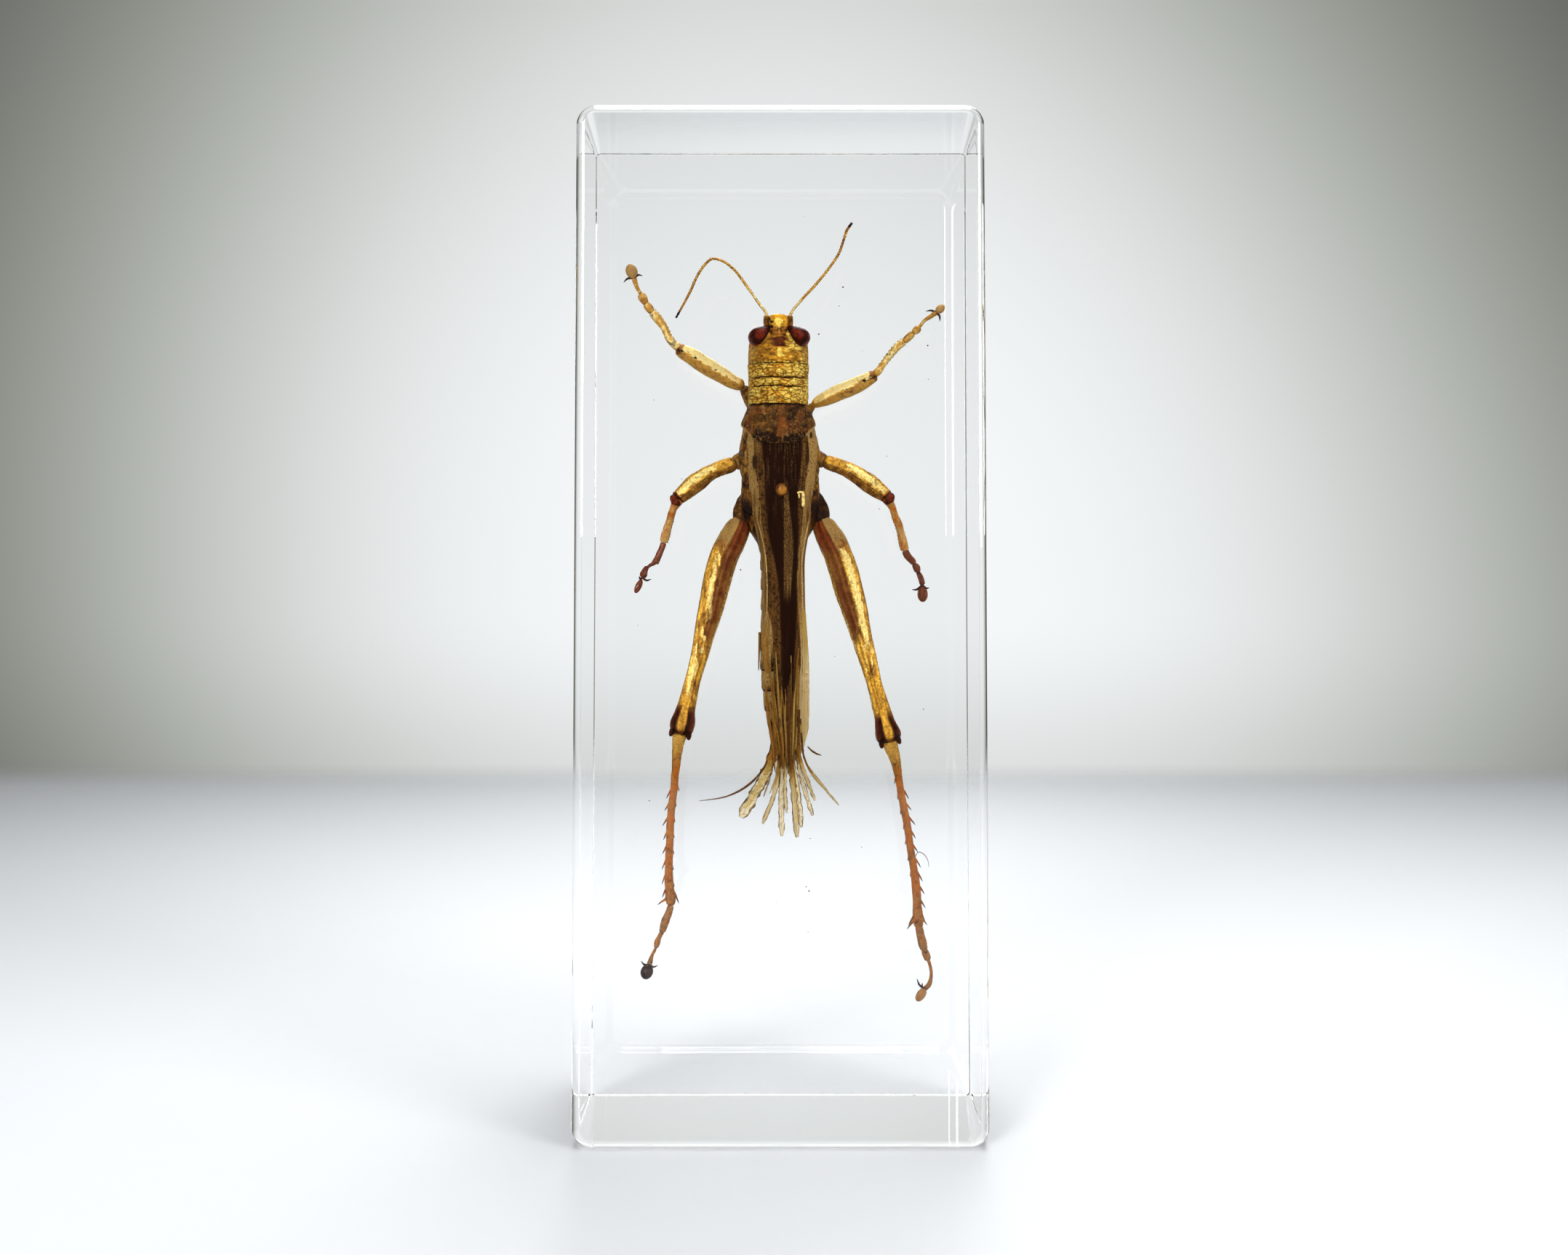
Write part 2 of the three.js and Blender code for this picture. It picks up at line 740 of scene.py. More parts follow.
@dataclass(frozen=True)
class Shell:
    """Dry horny skin: a wandering brown with painted straw, gold, rust and dark areas.

    Noise moves the edges of the painted areas, and lifts bright flakes out of the gold.

    Attributes:
        name: the material's name.
        deep: the darker ground colour.
        brown: the lighter ground colour.
        straw: colour of the pale areas and of the raised grains.
        gold: colour of the gold areas.
        flake: colour of the bright flakes.
        rust: colour of the rust areas.
        black: colour of the dark areas.
        grain: cells of the fine noise in a mm.
        pads: wrinkle pads in a mm along X, Y and Z, where the pads attribute raises them.
        crease: how strongly thin winding brown creases cut the gold.
        fray: how far the noise moves a painted edge.
        lustre: how metallic the gold is.
        rough: roughness between the flakes.
        relief: height of the fine grain, in mm.
    """

    name: str = "insect_shell"
    deep: Colour = rgb(0.10, 0.034, 0.006)
    brown: Colour = rgb(0.30, 0.125, 0.018)
    straw: Colour = rgb(0.48, 0.32, 0.11)
    gold: Colour = rgb(0.72, 0.36, 0.03)
    flake: Colour = rgb(0.94, 0.70, 0.16)
    rust: Colour = rgb(0.22, 0.035, 0.008)
    black: Colour = rgb(0.024, 0.006, 0.002)
    grain: float = 5.0
    pads: tuple[float, float, float] = (1.25, 1.25, 2.7)
    crease: float = 0.4
    fray: float = 0.6
    lustre: float = 0.4
    rough: float = 0.34
    relief: float = 0.045

    def material(self) -> bpy.types.Material:
        """Builds the material."""
        graph = Graph(bpy.data.materials.new(self.name))
        where = graph.place()
        coarse = graph.noise(where, 1.1, 3.0)
        fine = graph.noise(where, self.grain, 3.0)
        bent = graph.warp(graph.place(self.pads), 1.0, 1.1)
        edge = graph.cells(bent, 1.0, "DISTANCE_TO_EDGE")
        seam = 1.0 - edge.rise(0.01, 0.13)
        tint = graph.node("ShaderNodeTexVoronoi", None, {"Vector": bent, "Scale": 1.0}, "Color")
        padded = graph.attribute("pads")
        grit = (fine - 0.5) * self.fray
        fray = grit + ((tint - 0.5) * 0.75 + edge.rise(0.05, 0.35) * 0.4 - 0.1) * padded
        colour = graph.mix(coarse.rise(0.38, 0.62), self.deep, self.brown)
        straw = (graph.attribute("straw") + fray).rise(0.2, 0.8)
        colour = graph.mix(straw, colour, self.straw)
        gold = (graph.attribute("gold") + fray).rise(0.2, 0.8)
        flake = (graph.attribute("flake") + fray * 1.3).rise(0.3, 0.7)
        colour = graph.mix(gold, colour, self.gold)
        colour = graph.mix(flake, colour, self.flake)
        rust = (graph.attribute("rust") + grit).rise(0.2, 0.8)
        colour = graph.mix(rust, colour, self.rust)
        winding = graph.noise(where, 2.4, 2.0)
        crease = 1.0 - (winding - 0.5).maths("ABSOLUTE").rise(0.0, 0.035)
        lines = (crease * self.crease).top(seam * padded * 0.8)
        colour = graph.mix(lines, colour, self.deep)
        dark = (graph.attribute("dark") + grit).rise(0.2, 0.8)
        colour = graph.mix(dark, colour, self.black)
        granule = (1.0 - graph.cells(where, 3.4).rise(0.12, 0.58)) * fine.rise(0.3, 0.6)
        granule = granule * (graph.attribute("granule") + grit * 0.5).rise(0.1, 0.9)
        colour = graph.mix(granule * 0.6, colour, self.straw)
        domes = edge.rise(0.0, 0.45) * padded * 1.3 - crease * self.crease
        return graph.principled(
            Base_Color=colour,
            Metallic=gold.top(flake) * self.lustre,
            Roughness=self.rough + (fine - 0.5) * 0.3,
            Normal=graph.bump(fine + coarse * 0.7 + granule + domes, self.relief),
            Specular_IOR_Level=0.1,
        )


@dataclass(frozen=True)
class WingLeather:
    """The leathery fore wing: brown cells between fine pale veins, along painted fields.

    Attributes:
        cells_across: net cells over the unit of the across attribute.
        cells_along: net cells in a mm along the wing.
        umber: colour of the dark field and of the dots.
        brown: the ground colour between the veins.
        straw: colour of the veins and of the ribbons.
        gold: colour of the painted highlight lines along the ribbons.
    """

    cells_across: float = 20.0
    cells_along: float = 4.4
    umber: Colour = rgb(0.026, 0.007, 0.002)
    brown: Colour = rgb(0.15, 0.062, 0.014)
    straw: Colour = rgb(0.46, 0.29, 0.10)
    gold: Colour = rgb(0.84, 0.60, 0.25)

    def material(self) -> bpy.types.Material:
        """Builds the material."""
        graph = Graph(bpy.data.materials.new("insect_wing_leather"))
        across = graph.attribute("across")
        along = graph.attribute("along")
        net = graph.node(
            "ShaderNodeCombineXYZ",
            None,
            {"X": across * self.cells_across, "Y": along * self.cells_along},
        )
        line = graph.cells(net, 1.0, "DISTANCE_TO_EDGE")
        heart = graph.cells(net, 1.0)
        fine = graph.noise(graph.place(), 5.0, 3.0)
        wander = graph.noise(graph.place((1.0, 1.0, 0.18)), 2.6, 3.0)
        ribs = (across * 6.5 + (wander - 0.5) * 0.55).maths("PINGPONG", 0.5)
        rib = (1.0 - ribs.rise(0.0, 0.13)) * fine.rise(0.3, 0.55)
        vein = (1.0 - line.rise(0.0, 0.16)) * 0.75
        dark = graph.attribute("dark")
        straw = graph.attribute("straw")
        ground = graph.mix((straw + (wander - 0.5) * 0.5).rise(0.1, 0.9), self.brown, self.straw)
        ticks = graph.noise(graph.place((1.0, 1.0, 0.55)), 8.0, 2.0).rise(0.49, 0.61)
        ground = graph.mix(ticks * straw.rise(0.2, 0.7) * 0.7, ground, self.brown)
        ground = graph.mix((dark + (wander - 0.5) * 0.5).rise(0.2, 0.8), ground, self.umber)
        dots = (1.0 - heart.rise(0.16, 0.34)) * graph.attribute("dots")
        colour = graph.mix(dots, ground, self.umber)
        lines = vein.top(rib * (0.35 + straw * 0.4)) * graph.attribute("veins")
        colour = graph.mix(lines * (0.45 + fine * 0.5), colour, self.straw)
        # The gold attribute here is mostly a painted highlight along the ribbons' edges, and the metallic
        # follows it.
        gold = (graph.attribute("gold") + (fine - 0.5) * 0.6).rise(0.25, 0.75)
        colour = graph.mix(gold, colour, self.gold)
        return graph.principled(
            Base_Color=colour,
            Metallic=gold * 0.3,
            Roughness=0.42 + (fine - 0.5) * 0.25,
            Normal=graph.bump(rib * 0.8 + vein * 0.6 + fine * 0.4, 0.035),
            Specular_IOR_Level=0.03,
        )


@dataclass(frozen=True)
class Membrane:
    """The thin hind wing: clear straw between brown veins along its edges and across it.

    Attributes:
        straw: colour of the clear skin.
        amber: colour of the stained skin.
        vein: colour of the veins.
        clear: opacity of the clear skin, from 0 to 1.
    """

    straw: Colour = rgb(0.90, 0.66, 0.18)
    amber: Colour = rgb(0.36, 0.16, 0.022)
    vein: Colour = rgb(0.10, 0.036, 0.008)
    clear: float = 0.34

    def material(self) -> bpy.types.Material:
        """Builds the material."""
        graph = Graph(bpy.data.materials.new("insect_wing_membrane"))
        across = graph.attribute("across")
        along = graph.attribute("along")
        fine = graph.noise(graph.place(), 3.5, 3.0)
        wander = graph.noise(graph.place((1.0, 1.0, 0.35)), 2.0, 2.0)
        rim = (across.maths("ABSOLUTE") + (wander - 0.5) * 0.45).rise(0.72, 0.9)
        rungs = (along * 1.1 + across * 0.35 + (fine - 0.5) * 0.7).maths("PINGPONG", 0.5)
        rung = (1.0 - rungs.rise(0.0, 0.06)) * 0.6
        threads = (across * 1.2 + (wander - 0.5) * 0.9).maths("PINGPONG", 0.5)
        thread = (1.0 - threads.rise(0.0, 0.09)) * 0.7
        vein = rim.top(rung).top(thread) * (0.35 + fine * 1.1)
        shade = graph.attribute("dark") + (fine - 0.5) * 0.5
        stain = shade.rise(0.1, 0.9)
        colour = graph.mix(stain, self.straw, self.amber)
        colour = graph.mix(shade.rise(0.9, 1.5), colour, self.vein)
        return graph.principled(
            Base_Color=graph.mix(vein.clip(), colour, self.vein),
            Roughness=0.35 + (fine - 0.5) * 0.2,
            Alpha=(vein * 0.7 + stain * 0.62 + self.clear).clip(),
            Normal=graph.bump(vein + fine * 0.5, 0.03),
            Specular_IOR_Level=0.1,
        )


@dataclass(frozen=True)
class EyeGlass:
    """A compound eye: glossy dark red with browner bands that follow its outline.

    Attributes:
        red: the eye's colour.
        brown: colour of its bands.
    """

    red: Colour = rgb(0.24, 0.026, 0.008)
    brown: Colour = rgb(0.045, 0.004, 0.002)

    def material(self) -> bpy.types.Material:
        """Builds the material."""
        graph = Graph(bpy.data.materials.new("insect_eye"))
        fine = graph.noise(graph.place(), 3.0, 3.0)
        bands = (graph.attribute("across") * 3.0 + fine * 0.5).maths("PINGPONG", 0.5)
        facets = graph.cells(graph.place(), 22.0, "DISTANCE_TO_EDGE")
        share = bands.rise(0.12, 0.4) * fine.rise(0.3, 0.6)
        return graph.principled(
            Base_Color=graph.mix(share, self.brown, self.red),
            Roughness=0.16 + (fine - 0.5) * 0.1,
            Normal=graph.bump(facets.rise(0.0, 0.25), 0.004),
            Specular_IOR_Level=0.15,
        )


@dataclass(frozen=True)
class Horn:
    """Claws, pads and the middle feet: hard horn between a lighter root and a dark tip.

    Attributes:
        name: the material's name.
        root: colour where the tip attribute is 0.
        tip: colour where the tip attribute is 1.
    """

    name: str = "insect_claw"
    root: Colour = rgb(0.21, 0.062, 0.028)
    tip: Colour = rgb(0.030, 0.007, 0.005)

    def material(self) -> bpy.types.Material:
        """Builds the material."""
        graph = Graph(bpy.data.materials.new(self.name))
        fine = graph.noise(graph.place(), 4.0, 3.0)
        share = (graph.attribute("tip") + (fine - 0.5) * 0.5).rise(0.1, 0.9)
        return graph.principled(
            Base_Color=graph.mix(share, self.root, self.tip),
            Roughness=0.24 + (fine - 0.5) * 0.2,
            Normal=graph.bump(fine, 0.02),
            Specular_IOR_Level=0.3,
        )


@dataclass(frozen=True)
class Bead:
    """A drop of amber-coloured air and wax on the wings, with a painted glow of light through it that is
    brighter in its middle.

    Attributes:
        rim: colour at its edge, where the painted glow fades.
        heart: colour in its middle, where the painted glow is brightest.
    """

    rim: Colour = rgb(0.14, 0.040, 0.006)
    heart: Colour = rgb(0.48, 0.21, 0.016)

    def material(self) -> bpy.types.Material:
        """Builds the material."""
        graph = Graph(bpy.data.materials.new("trapped_bead"))
        fine = graph.noise(graph.place(), 3.5, 3.0)
        # The tip attribute carries the painted glow of light through the bead.
        share = (graph.attribute("tip") + (fine - 0.5) * 1.8).rise(0.1, 0.9)
        return graph.principled(
            Base_Color=graph.mix(share, self.rim, self.heart),
            Roughness=0.12 + fine * 0.1,
            Normal=graph.bump(fine, 0.03),
            Specular_IOR_Level=0.3,
        )


@dataclass
class Finishes:
    """The insect's materials, each built once.

    Attributes:
        shell: head, saddle, chest, abdomen and hips.
        leg: gold thighs.
        pale: feelers and front legs.
        shin: rust shins and feet.
        leather: fore wings.
        membrane: hind wings and torn veins.
        eye: the compound eyes and the simple ones.
        claw: claws, dark pads, middle feet and dust.
        bead: the amber bead.
    """

    shell: bpy.types.Material = field(default_factory=Shell().material)
    leg: bpy.types.Material = field(
        default_factory=Shell(
            "insect_leg_gold",
            deep=rgb(0.17, 0.060, 0.010),
            brown=rgb(0.36, 0.17, 0.035),
            straw=rgb(0.42, 0.28, 0.10),
            gold=rgb(0.76, 0.43, 0.055),
            flake=rgb(0.86, 0.66, 0.25),
            grain=4.0,
            pads=(2.4, 2.4, 0.8),
            crease=0.25,
            fray=0.5,
            lustre=0.35,
            rough=0.28,
        ).material
    )
    pale: bpy.types.Material = field(
        default_factory=Shell(
            "insect_leg_pale",
            deep=rgb(0.20, 0.080, 0.018),
            brown=rgb(0.42, 0.21, 0.055),
            straw=rgb(0.60, 0.43, 0.18),
            gold=rgb(0.60, 0.34, 0.07),
            flake=rgb(0.80, 0.64, 0.29),
            rust=rgb(0.34, 0.12, 0.03),
            grain=4.0,
            crease=0.12,
            fray=0.5,
            lustre=0.25,
            rough=0.3,
        ).material
    )
    shin: bpy.types.Material = field(
        default_factory=Shell(
            "insect_leg_rust",
            deep=rgb(0.24, 0.075, 0.014),
            brown=rgb(0.46, 0.18, 0.035),
            straw=rgb(0.58, 0.37, 0.16),
            gold=rgb(0.74, 0.46, 0.10),
            rust=rgb(0.54, 0.17, 0.020),
            grain=6.0,
            crease=0.45,
            fray=0.6,
            lustre=0.15,
            rough=0.27,
            relief=0.07,
        ).material
    )
    leather: bpy.types.Material = field(default_factory=WingLeather().material)
    membrane: bpy.types.Material = field(default_factory=Membrane().material)
    eye: bpy.types.Material = field(default_factory=EyeGlass().material)
    claw: bpy.types.Material = field(default_factory=Horn().material)
    bead: bpy.types.Material = field(default_factory=Bead().material)


# ---------------------------------------------------------------- the insect's trunk

AXIS = -0.25  # X of the insect's middle line at the head, in mm
DORSAL = (0.0, -1.0, 0.0)  # the insect's back looks at the front face


@dataclass
class Head:
    """The head: a rounded capsule with a blunt snout, two eyes, feelers and mouthparts.

    Attributes:
        half_width: half its width behind the eyes.
        half_depth: half its depth, from the back of the head to its underside.
        depth_middle: Y of its middle line.
        top: Z of the crown's front.
        eye_apart: how far each eye's middle is from the middle line.
        eye_height: Z of the eyes' middles.
        snout_half: half the snout's width.
    """

    half_width: float = 3.36
    half_depth: float = 3.9
    depth_middle: float = 0.7
    top: float = 89.5
    eye_apart: float = 2.05
    eye_height: float = 87.74
    snout_half: float = 1.15

    def capsule(self) -> Patch:
        """The skull: an oval carried up to a rounded end, wrinkled and pitted."""
        stations = [
            (AXIS, self.depth_middle, 82.6, self.half_width - 0.25, self.half_depth - 0.3),
            (AXIS, self.depth_middle, 84.6, self.half_width, self.half_depth - 0.1),
            (AXIS, self.depth_middle, 86.4, self.half_width - 0.02, self.half_depth),
            (AXIS, self.depth_middle, 88.0, self.half_width - 0.2, self.half_depth - 0.05),
            (AXIS, self.depth_middle, self.top, self.half_width - 0.5, self.half_depth - 0.3),
        ]
        patch = rod(stations, 110, 230, (0.4, 2.3), 0.86, steps=34)
        x, y, z = np.moveaxis(patch.points, -1, 0)
        aside = x - AXIS
        folds = patch.lumps(3, (0.55, 0.55, 0.24), 1)
        folds = folds + 0.4 * patch.lumps(8, (0.24, 0.24, 0.13), 1)
        pads = smooth(-0.08, 0.26, folds)
        pits = patch.lumps(4, (0.26, 0.26, 0.26))
        back = smooth(0.0, 0.5, -patch.radial[..., 1])
        crown = back * smooth(84.0, 84.8, z)
        brow = hill(z + 0.10 * aside**2, 87.25, 0.16) + hill(z + 0.12 * aside**2, 86.45, 0.14)
        brow = brow * smooth(1.5, 0.9, np.abs(aside)) * back
        keel = hill(aside, 0.0, 0.12) * back * smooth(88.0, 87.0, z)
        patch.swell((0.07 * pads - 0.05) * crown + 0.03 * pits - 0.08 * brow + 0.08 * keel)
        drop = hill(aside, 0.13, 0.2) * smooth(85.1, 85.4, z) * smooth(86.3, 86.05, z)
        right = smooth(-0.8, 1.2, aside)
        wedge = smooth(0.85, 0.45, np.abs(aside - 0.15)) * smooth(86.2, 86.5, z)
        wedge = wedge * smooth(87.5, 87.2, z) * back
        collar = hill(aside, 0.1, 1.0) * crown * smooth(87.0, 86.2, z)
        temples = smooth(0.5, 1.5, aside) * smooth(2.9, 2.2, aside) * smooth(85.4, 86.4, z)
        cheek = smooth(1.9, 2.8, np.abs(aside)) * back
        holes = smooth(0.2, 0.6, pits) * smooth(0.4, 1.4, np.abs(aside))
        return patch.coat(
            gold=0.5 + 0.15 * pads * (0.4 + 0.6 * right) + 0.35 * collar * right - 0.3 * wedge,
            flake=(1.4 * drop + 0.5 * temples + 0.35 * collar * right + 0.1 * pads + 0.3 * cheek
                   + 0.2 * right) * back * (1.0 - wedge) - 0.15,
            pads=0.5 * crown * (1.0 - 0.8 * drop),
            straw=0.6 * cheek + 0.35 * pads * crown * (1.0 - right)
            + 0.25 * smooth(0.2, -0.4, -patch.radial[..., 1]),
            rust=0.35 * brow + 0.2 * (1.0 - pads) * crown + 0.4 * wedge,
            dark=(0.15 * holes * (1.0 - 0.5 * cheek) + 0.15 * (1.0 - pads) * (1.0 - 0.5 * collar)) * crown
            # the dark line at Z 84.75 on the back of the head is a painted shadow of the gap under the
            # saddle's front rim
            + 0.3 * brow + 0.25 * wedge * (1.0 - 0.6 * pads) + 0.35 * hill(z, 84.75, 0.1) * back,
            granule=0.15 * crown * (1.0 - wedge),
        )

    def snout(self) -> Patch:
        """The blunt plate between the feelers, with a raised rim."""
        half = self.snout_half
        stations = [
            (AXIS, -2.35, 86.9, half * 0.78, 0.55),
            (AXIS, -2.55, 87.9, half * 0.86, 0.62),
            (AXIS + 0.03, -2.35, 88.9, half * 0.98, 0.75),
            (AXIS + 0.05, -1.9, 89.88, half, 0.85),
        ]
        patch = rod(stations, 46, 90, (0.7, 0.55), 0.7, steps=14)
        aside = patch.points[..., 0] - AXIS
        z = patch.points[..., 2]
        lumps = patch.lumps(7, (0.3, 0.3, 0.3))
        rim = hill(np.abs(aside), half * 0.82, 0.16) * smooth(0.2, 0.7, -patch.radial[..., 1])
        patch.swell(0.05 * lumps + 0.10 * rim)
        # The round bright patch on the snout plate is partly the plate's own pale yellow and partly a
        # painted highlight.
        spot_and_highlight = hill(aside, 0.02, 0.45) * hill(z, 89.15, 0.45)
        bars = hill((z * 2.6) % 1.0, 0.5, 0.22) * smooth(88.9, 88.5, z)
        return patch.coat(
            gold=0.4 + 0.4 * smooth(88.4, 89.2, z) + 0.2 * bars,
            flake=1.2 * spot_and_highlight + 0.4 * rim * smooth(88.2, 89.0, z) + 0.4 * bars * smooth(-0.3, 0.3, lumps)
            + 0.6 * hill(aside, 0.1, 0.14) * smooth(88.9, 88.5, z) + 0.2 * lumps,
            dark=0.6 * smooth(0.1, 0.45, lumps) * (1.0 - spot_and_highlight) + 0.4 * smooth(0.8, 1.1, np.abs(aside))
            + 0.2 * (1.0 - bars) * smooth(88.9, 88.3, z) + 0.3 * smooth(-0.3, -0.8, aside),
            rust=0.5 * smooth(89.0, 88.2, z),
        )

    def face(self) -> list[Patch]:
        """The face's keel, clypeus, lip, jaws and palps, on the side that looks up and back."""
        parts = [
            rod([(AXIS, -1.4, 89.3, 0.55, 0.4), (AXIS, 0.6, 89.62, 0.42, 0.34),
                 (AXIS, 2.6, 89.2, 0.5, 0.3), (AXIS, 3.9, 88.2, 0.7, 0.3)],
                30, 24, (0.3, 0.3), facing=(0.0, 0.0, 1.0)),
            rod([(AXIS, 3.3, 88.3, 1.45, 0.5), (AXIS, 4.3, 87.6, 1.7, 0.55),
                 (AXIS, 5.0, 86.6, 1.35, 0.5), (AXIS, 5.2, 85.9, 0.9, 0.4)],
                36, 48, (0.5, 0.5), 0.8),
        ]
        for side in (-1, 1):
            parts.append(rod(
                [(AXIS + side * 1.6, 3.6, 87.9, 0.7, 0.6), (AXIS + side * 1.5, 4.7, 86.9, 0.75, 0.6),
                 (AXIS + side * 0.8, 5.2, 85.8, 0.45, 0.45)], 24, 26, (0.5, 0.4)))
            for start, reach in ((1.7, 1.9), (1.1, 1.2)):
                parts.append(rod(
                    [(AXIS + side * start, 4.4, 86.1, 0.24, 0.24),
                     (AXIS + side * reach, 5.1, 85.3, 0.22, 0.22),
                     (AXIS + side * (reach - 0.1), 5.2, 84.4, 0.2, 0.2),
                     (AXIS + side * (reach - 0.4), 4.9, 83.7, 0.24, 0.24)], 26, 12, (0.2, 0.2)))
        for part in parts:
            lumps = part.lumps(9, (0.35, 0.35, 0.35))
            part.swell(0.03 * lumps)
            part.coat(gold=0.45 + 0.4 * lumps, dark=0.5 * smooth(0.2, 0.7, lumps), straw=0.3)
        return parts

    def eye(self, side: int) -> Patch:
        """One eye: an egg that leans outward and is pushed a little askew."""
        tilt = math.radians(38.0)
        across = (side * math.cos(tilt), 0.0, -math.sin(tilt))
        upward = (side * math.sin(tilt), 0.0, math.cos(tilt))
        long, short, deep = 1.5, 1.02, 1.8
        axes = (
            (0.0, -deep, 0.0),
            tuple(long * value for value in across),
            tuple(short * value for value in upward),
        )
        centre = (AXIS + 0.1 + side * self.eye_apart, -1.6, self.eye_height)
        patch = ovoid(centre, axes, 48, 72)
        lean = np.sin(patch.share * math.pi) ** 2 * np.cos(patch.angle) * np.sin(patch.angle)
        patch.points = patch.points + 0.3 * short * lean[..., None] * np.array(upward)
        return patch.coat(across=patch.share)

    def feelers(self) -> dict[str, Patch]:
        """The two feelers: beaded threads whose last joints are dark."""
        paths = {
            "feeler_left": [
                (-1.5, -1.6, 89.7, 0.20, 0.20), (-1.62, -1.7, 90.2, 0.17, 0.17),
                (-2.3, -1.9, 91.1, 0.15, 0.15), (-3.8, -2.1, 93.2, 0.15, 0.15),
                (-5.2, -2.2, 95.0, 0.14, 0.14), (-6.6, -2.2, 96.0, 0.14, 0.14),
                (-7.6, -2.1, 96.2, 0.14, 0.14), (-8.5, -1.9, 95.5, 0.14, 0.14),
                (-9.2, -1.7, 94.5, 0.14, 0.14), (-10.1, -1.5, 92.6, 0.14, 0.14),
                (-11.7, -1.2, 89.7, 0.10, 0.10),
            ],
            "feeler_right": [
                (1.0, -1.6, 89.7, 0.20, 0.20), (1.15, -1.7, 90.1, 0.17, 0.17),
                (2.3, -1.9, 91.6, 0.15, 0.15), (3.9, -2.1, 93.3, 0.15, 0.15),
                (5.3, -2.2, 95.0, 0.14, 0.14), (6.5, -2.1, 96.8, 0.14, 0.14),
                (7.1, -1.9, 98.5, 0.14, 0.14), (7.4, -1.8, 99.4, 0.15, 0.15),
                (8.0, -1.7, 100.3, 0.13, 0.13),
            ],
        }
        made = {}
        for name, path in paths.items():
            patch = rod(path, 420, 14, (0.1, 0.15))
            beads = np.abs(np.sin(patch.distance * math.pi / 0.42))
            lumps = patch.lumps(11, (0.5, 0.5, 0.5), 1)
            patch.swell(0.035 * beads**0.6 - 0.02)
            tip = smooth(0.93, 0.97, patch.share)
            patch.coat(
                gold=0.75 - 0.5 * smooth(0.3, 0.9, patch.share) + 0.3 * lumps,
                straw=0.35 - 0.2 * patch.share,
                flake=0.55 * smooth(0.4, 0.1, patch.share) + 0.3 * lumps,
                dark=tip + 0.45 * smooth(0.35, 0.0, beads),
            )
            made[name] = patch
        return made

    def build(self, finishes: Finishes) -> None:
        """Makes the head's pieces."""
        scapes = []
        for side in (-1, 1):
            scape = rod(
                [(AXIS + side * 1.25, -1.5, 88.7, 0.36, 0.36),
                 (AXIS + side * 1.3, -1.6, 89.4, 0.36, 0.36),
                 (AXIS + side * 1.3, -1.7, 89.95, 0.30, 0.30)], 14, 22, (0.2, 0.15))
            scapes.append(scape.coat(dark=0.2, gold=0.35, rust=0.3))
        ocelli = [
            ovoid((AXIS + across, -0.9 + deep, 89.75), ((0, 0, 0.2), (0.22, 0, 0), (0, 0.22, 0)), 8, 14)
            for across, deep in ((-0.8, 0.0), (0.8, 0.0), (0.0, 1.0))
        ]
        make_piece("head", [self.capsule(), self.snout(), *scapes], finishes.shell)
        make_piece("mouthparts", self.face(), finishes.shell)
        make_piece("simple_eyes", ocelli, finishes.eye)
        make_piece("eye_left", [self.eye(-1)], finishes.eye)
        make_piece("eye_right", [self.eye(1)], finishes.eye)
        for name, patch in self.feelers().items():
            make_piece(name, [patch], finishes.pale)


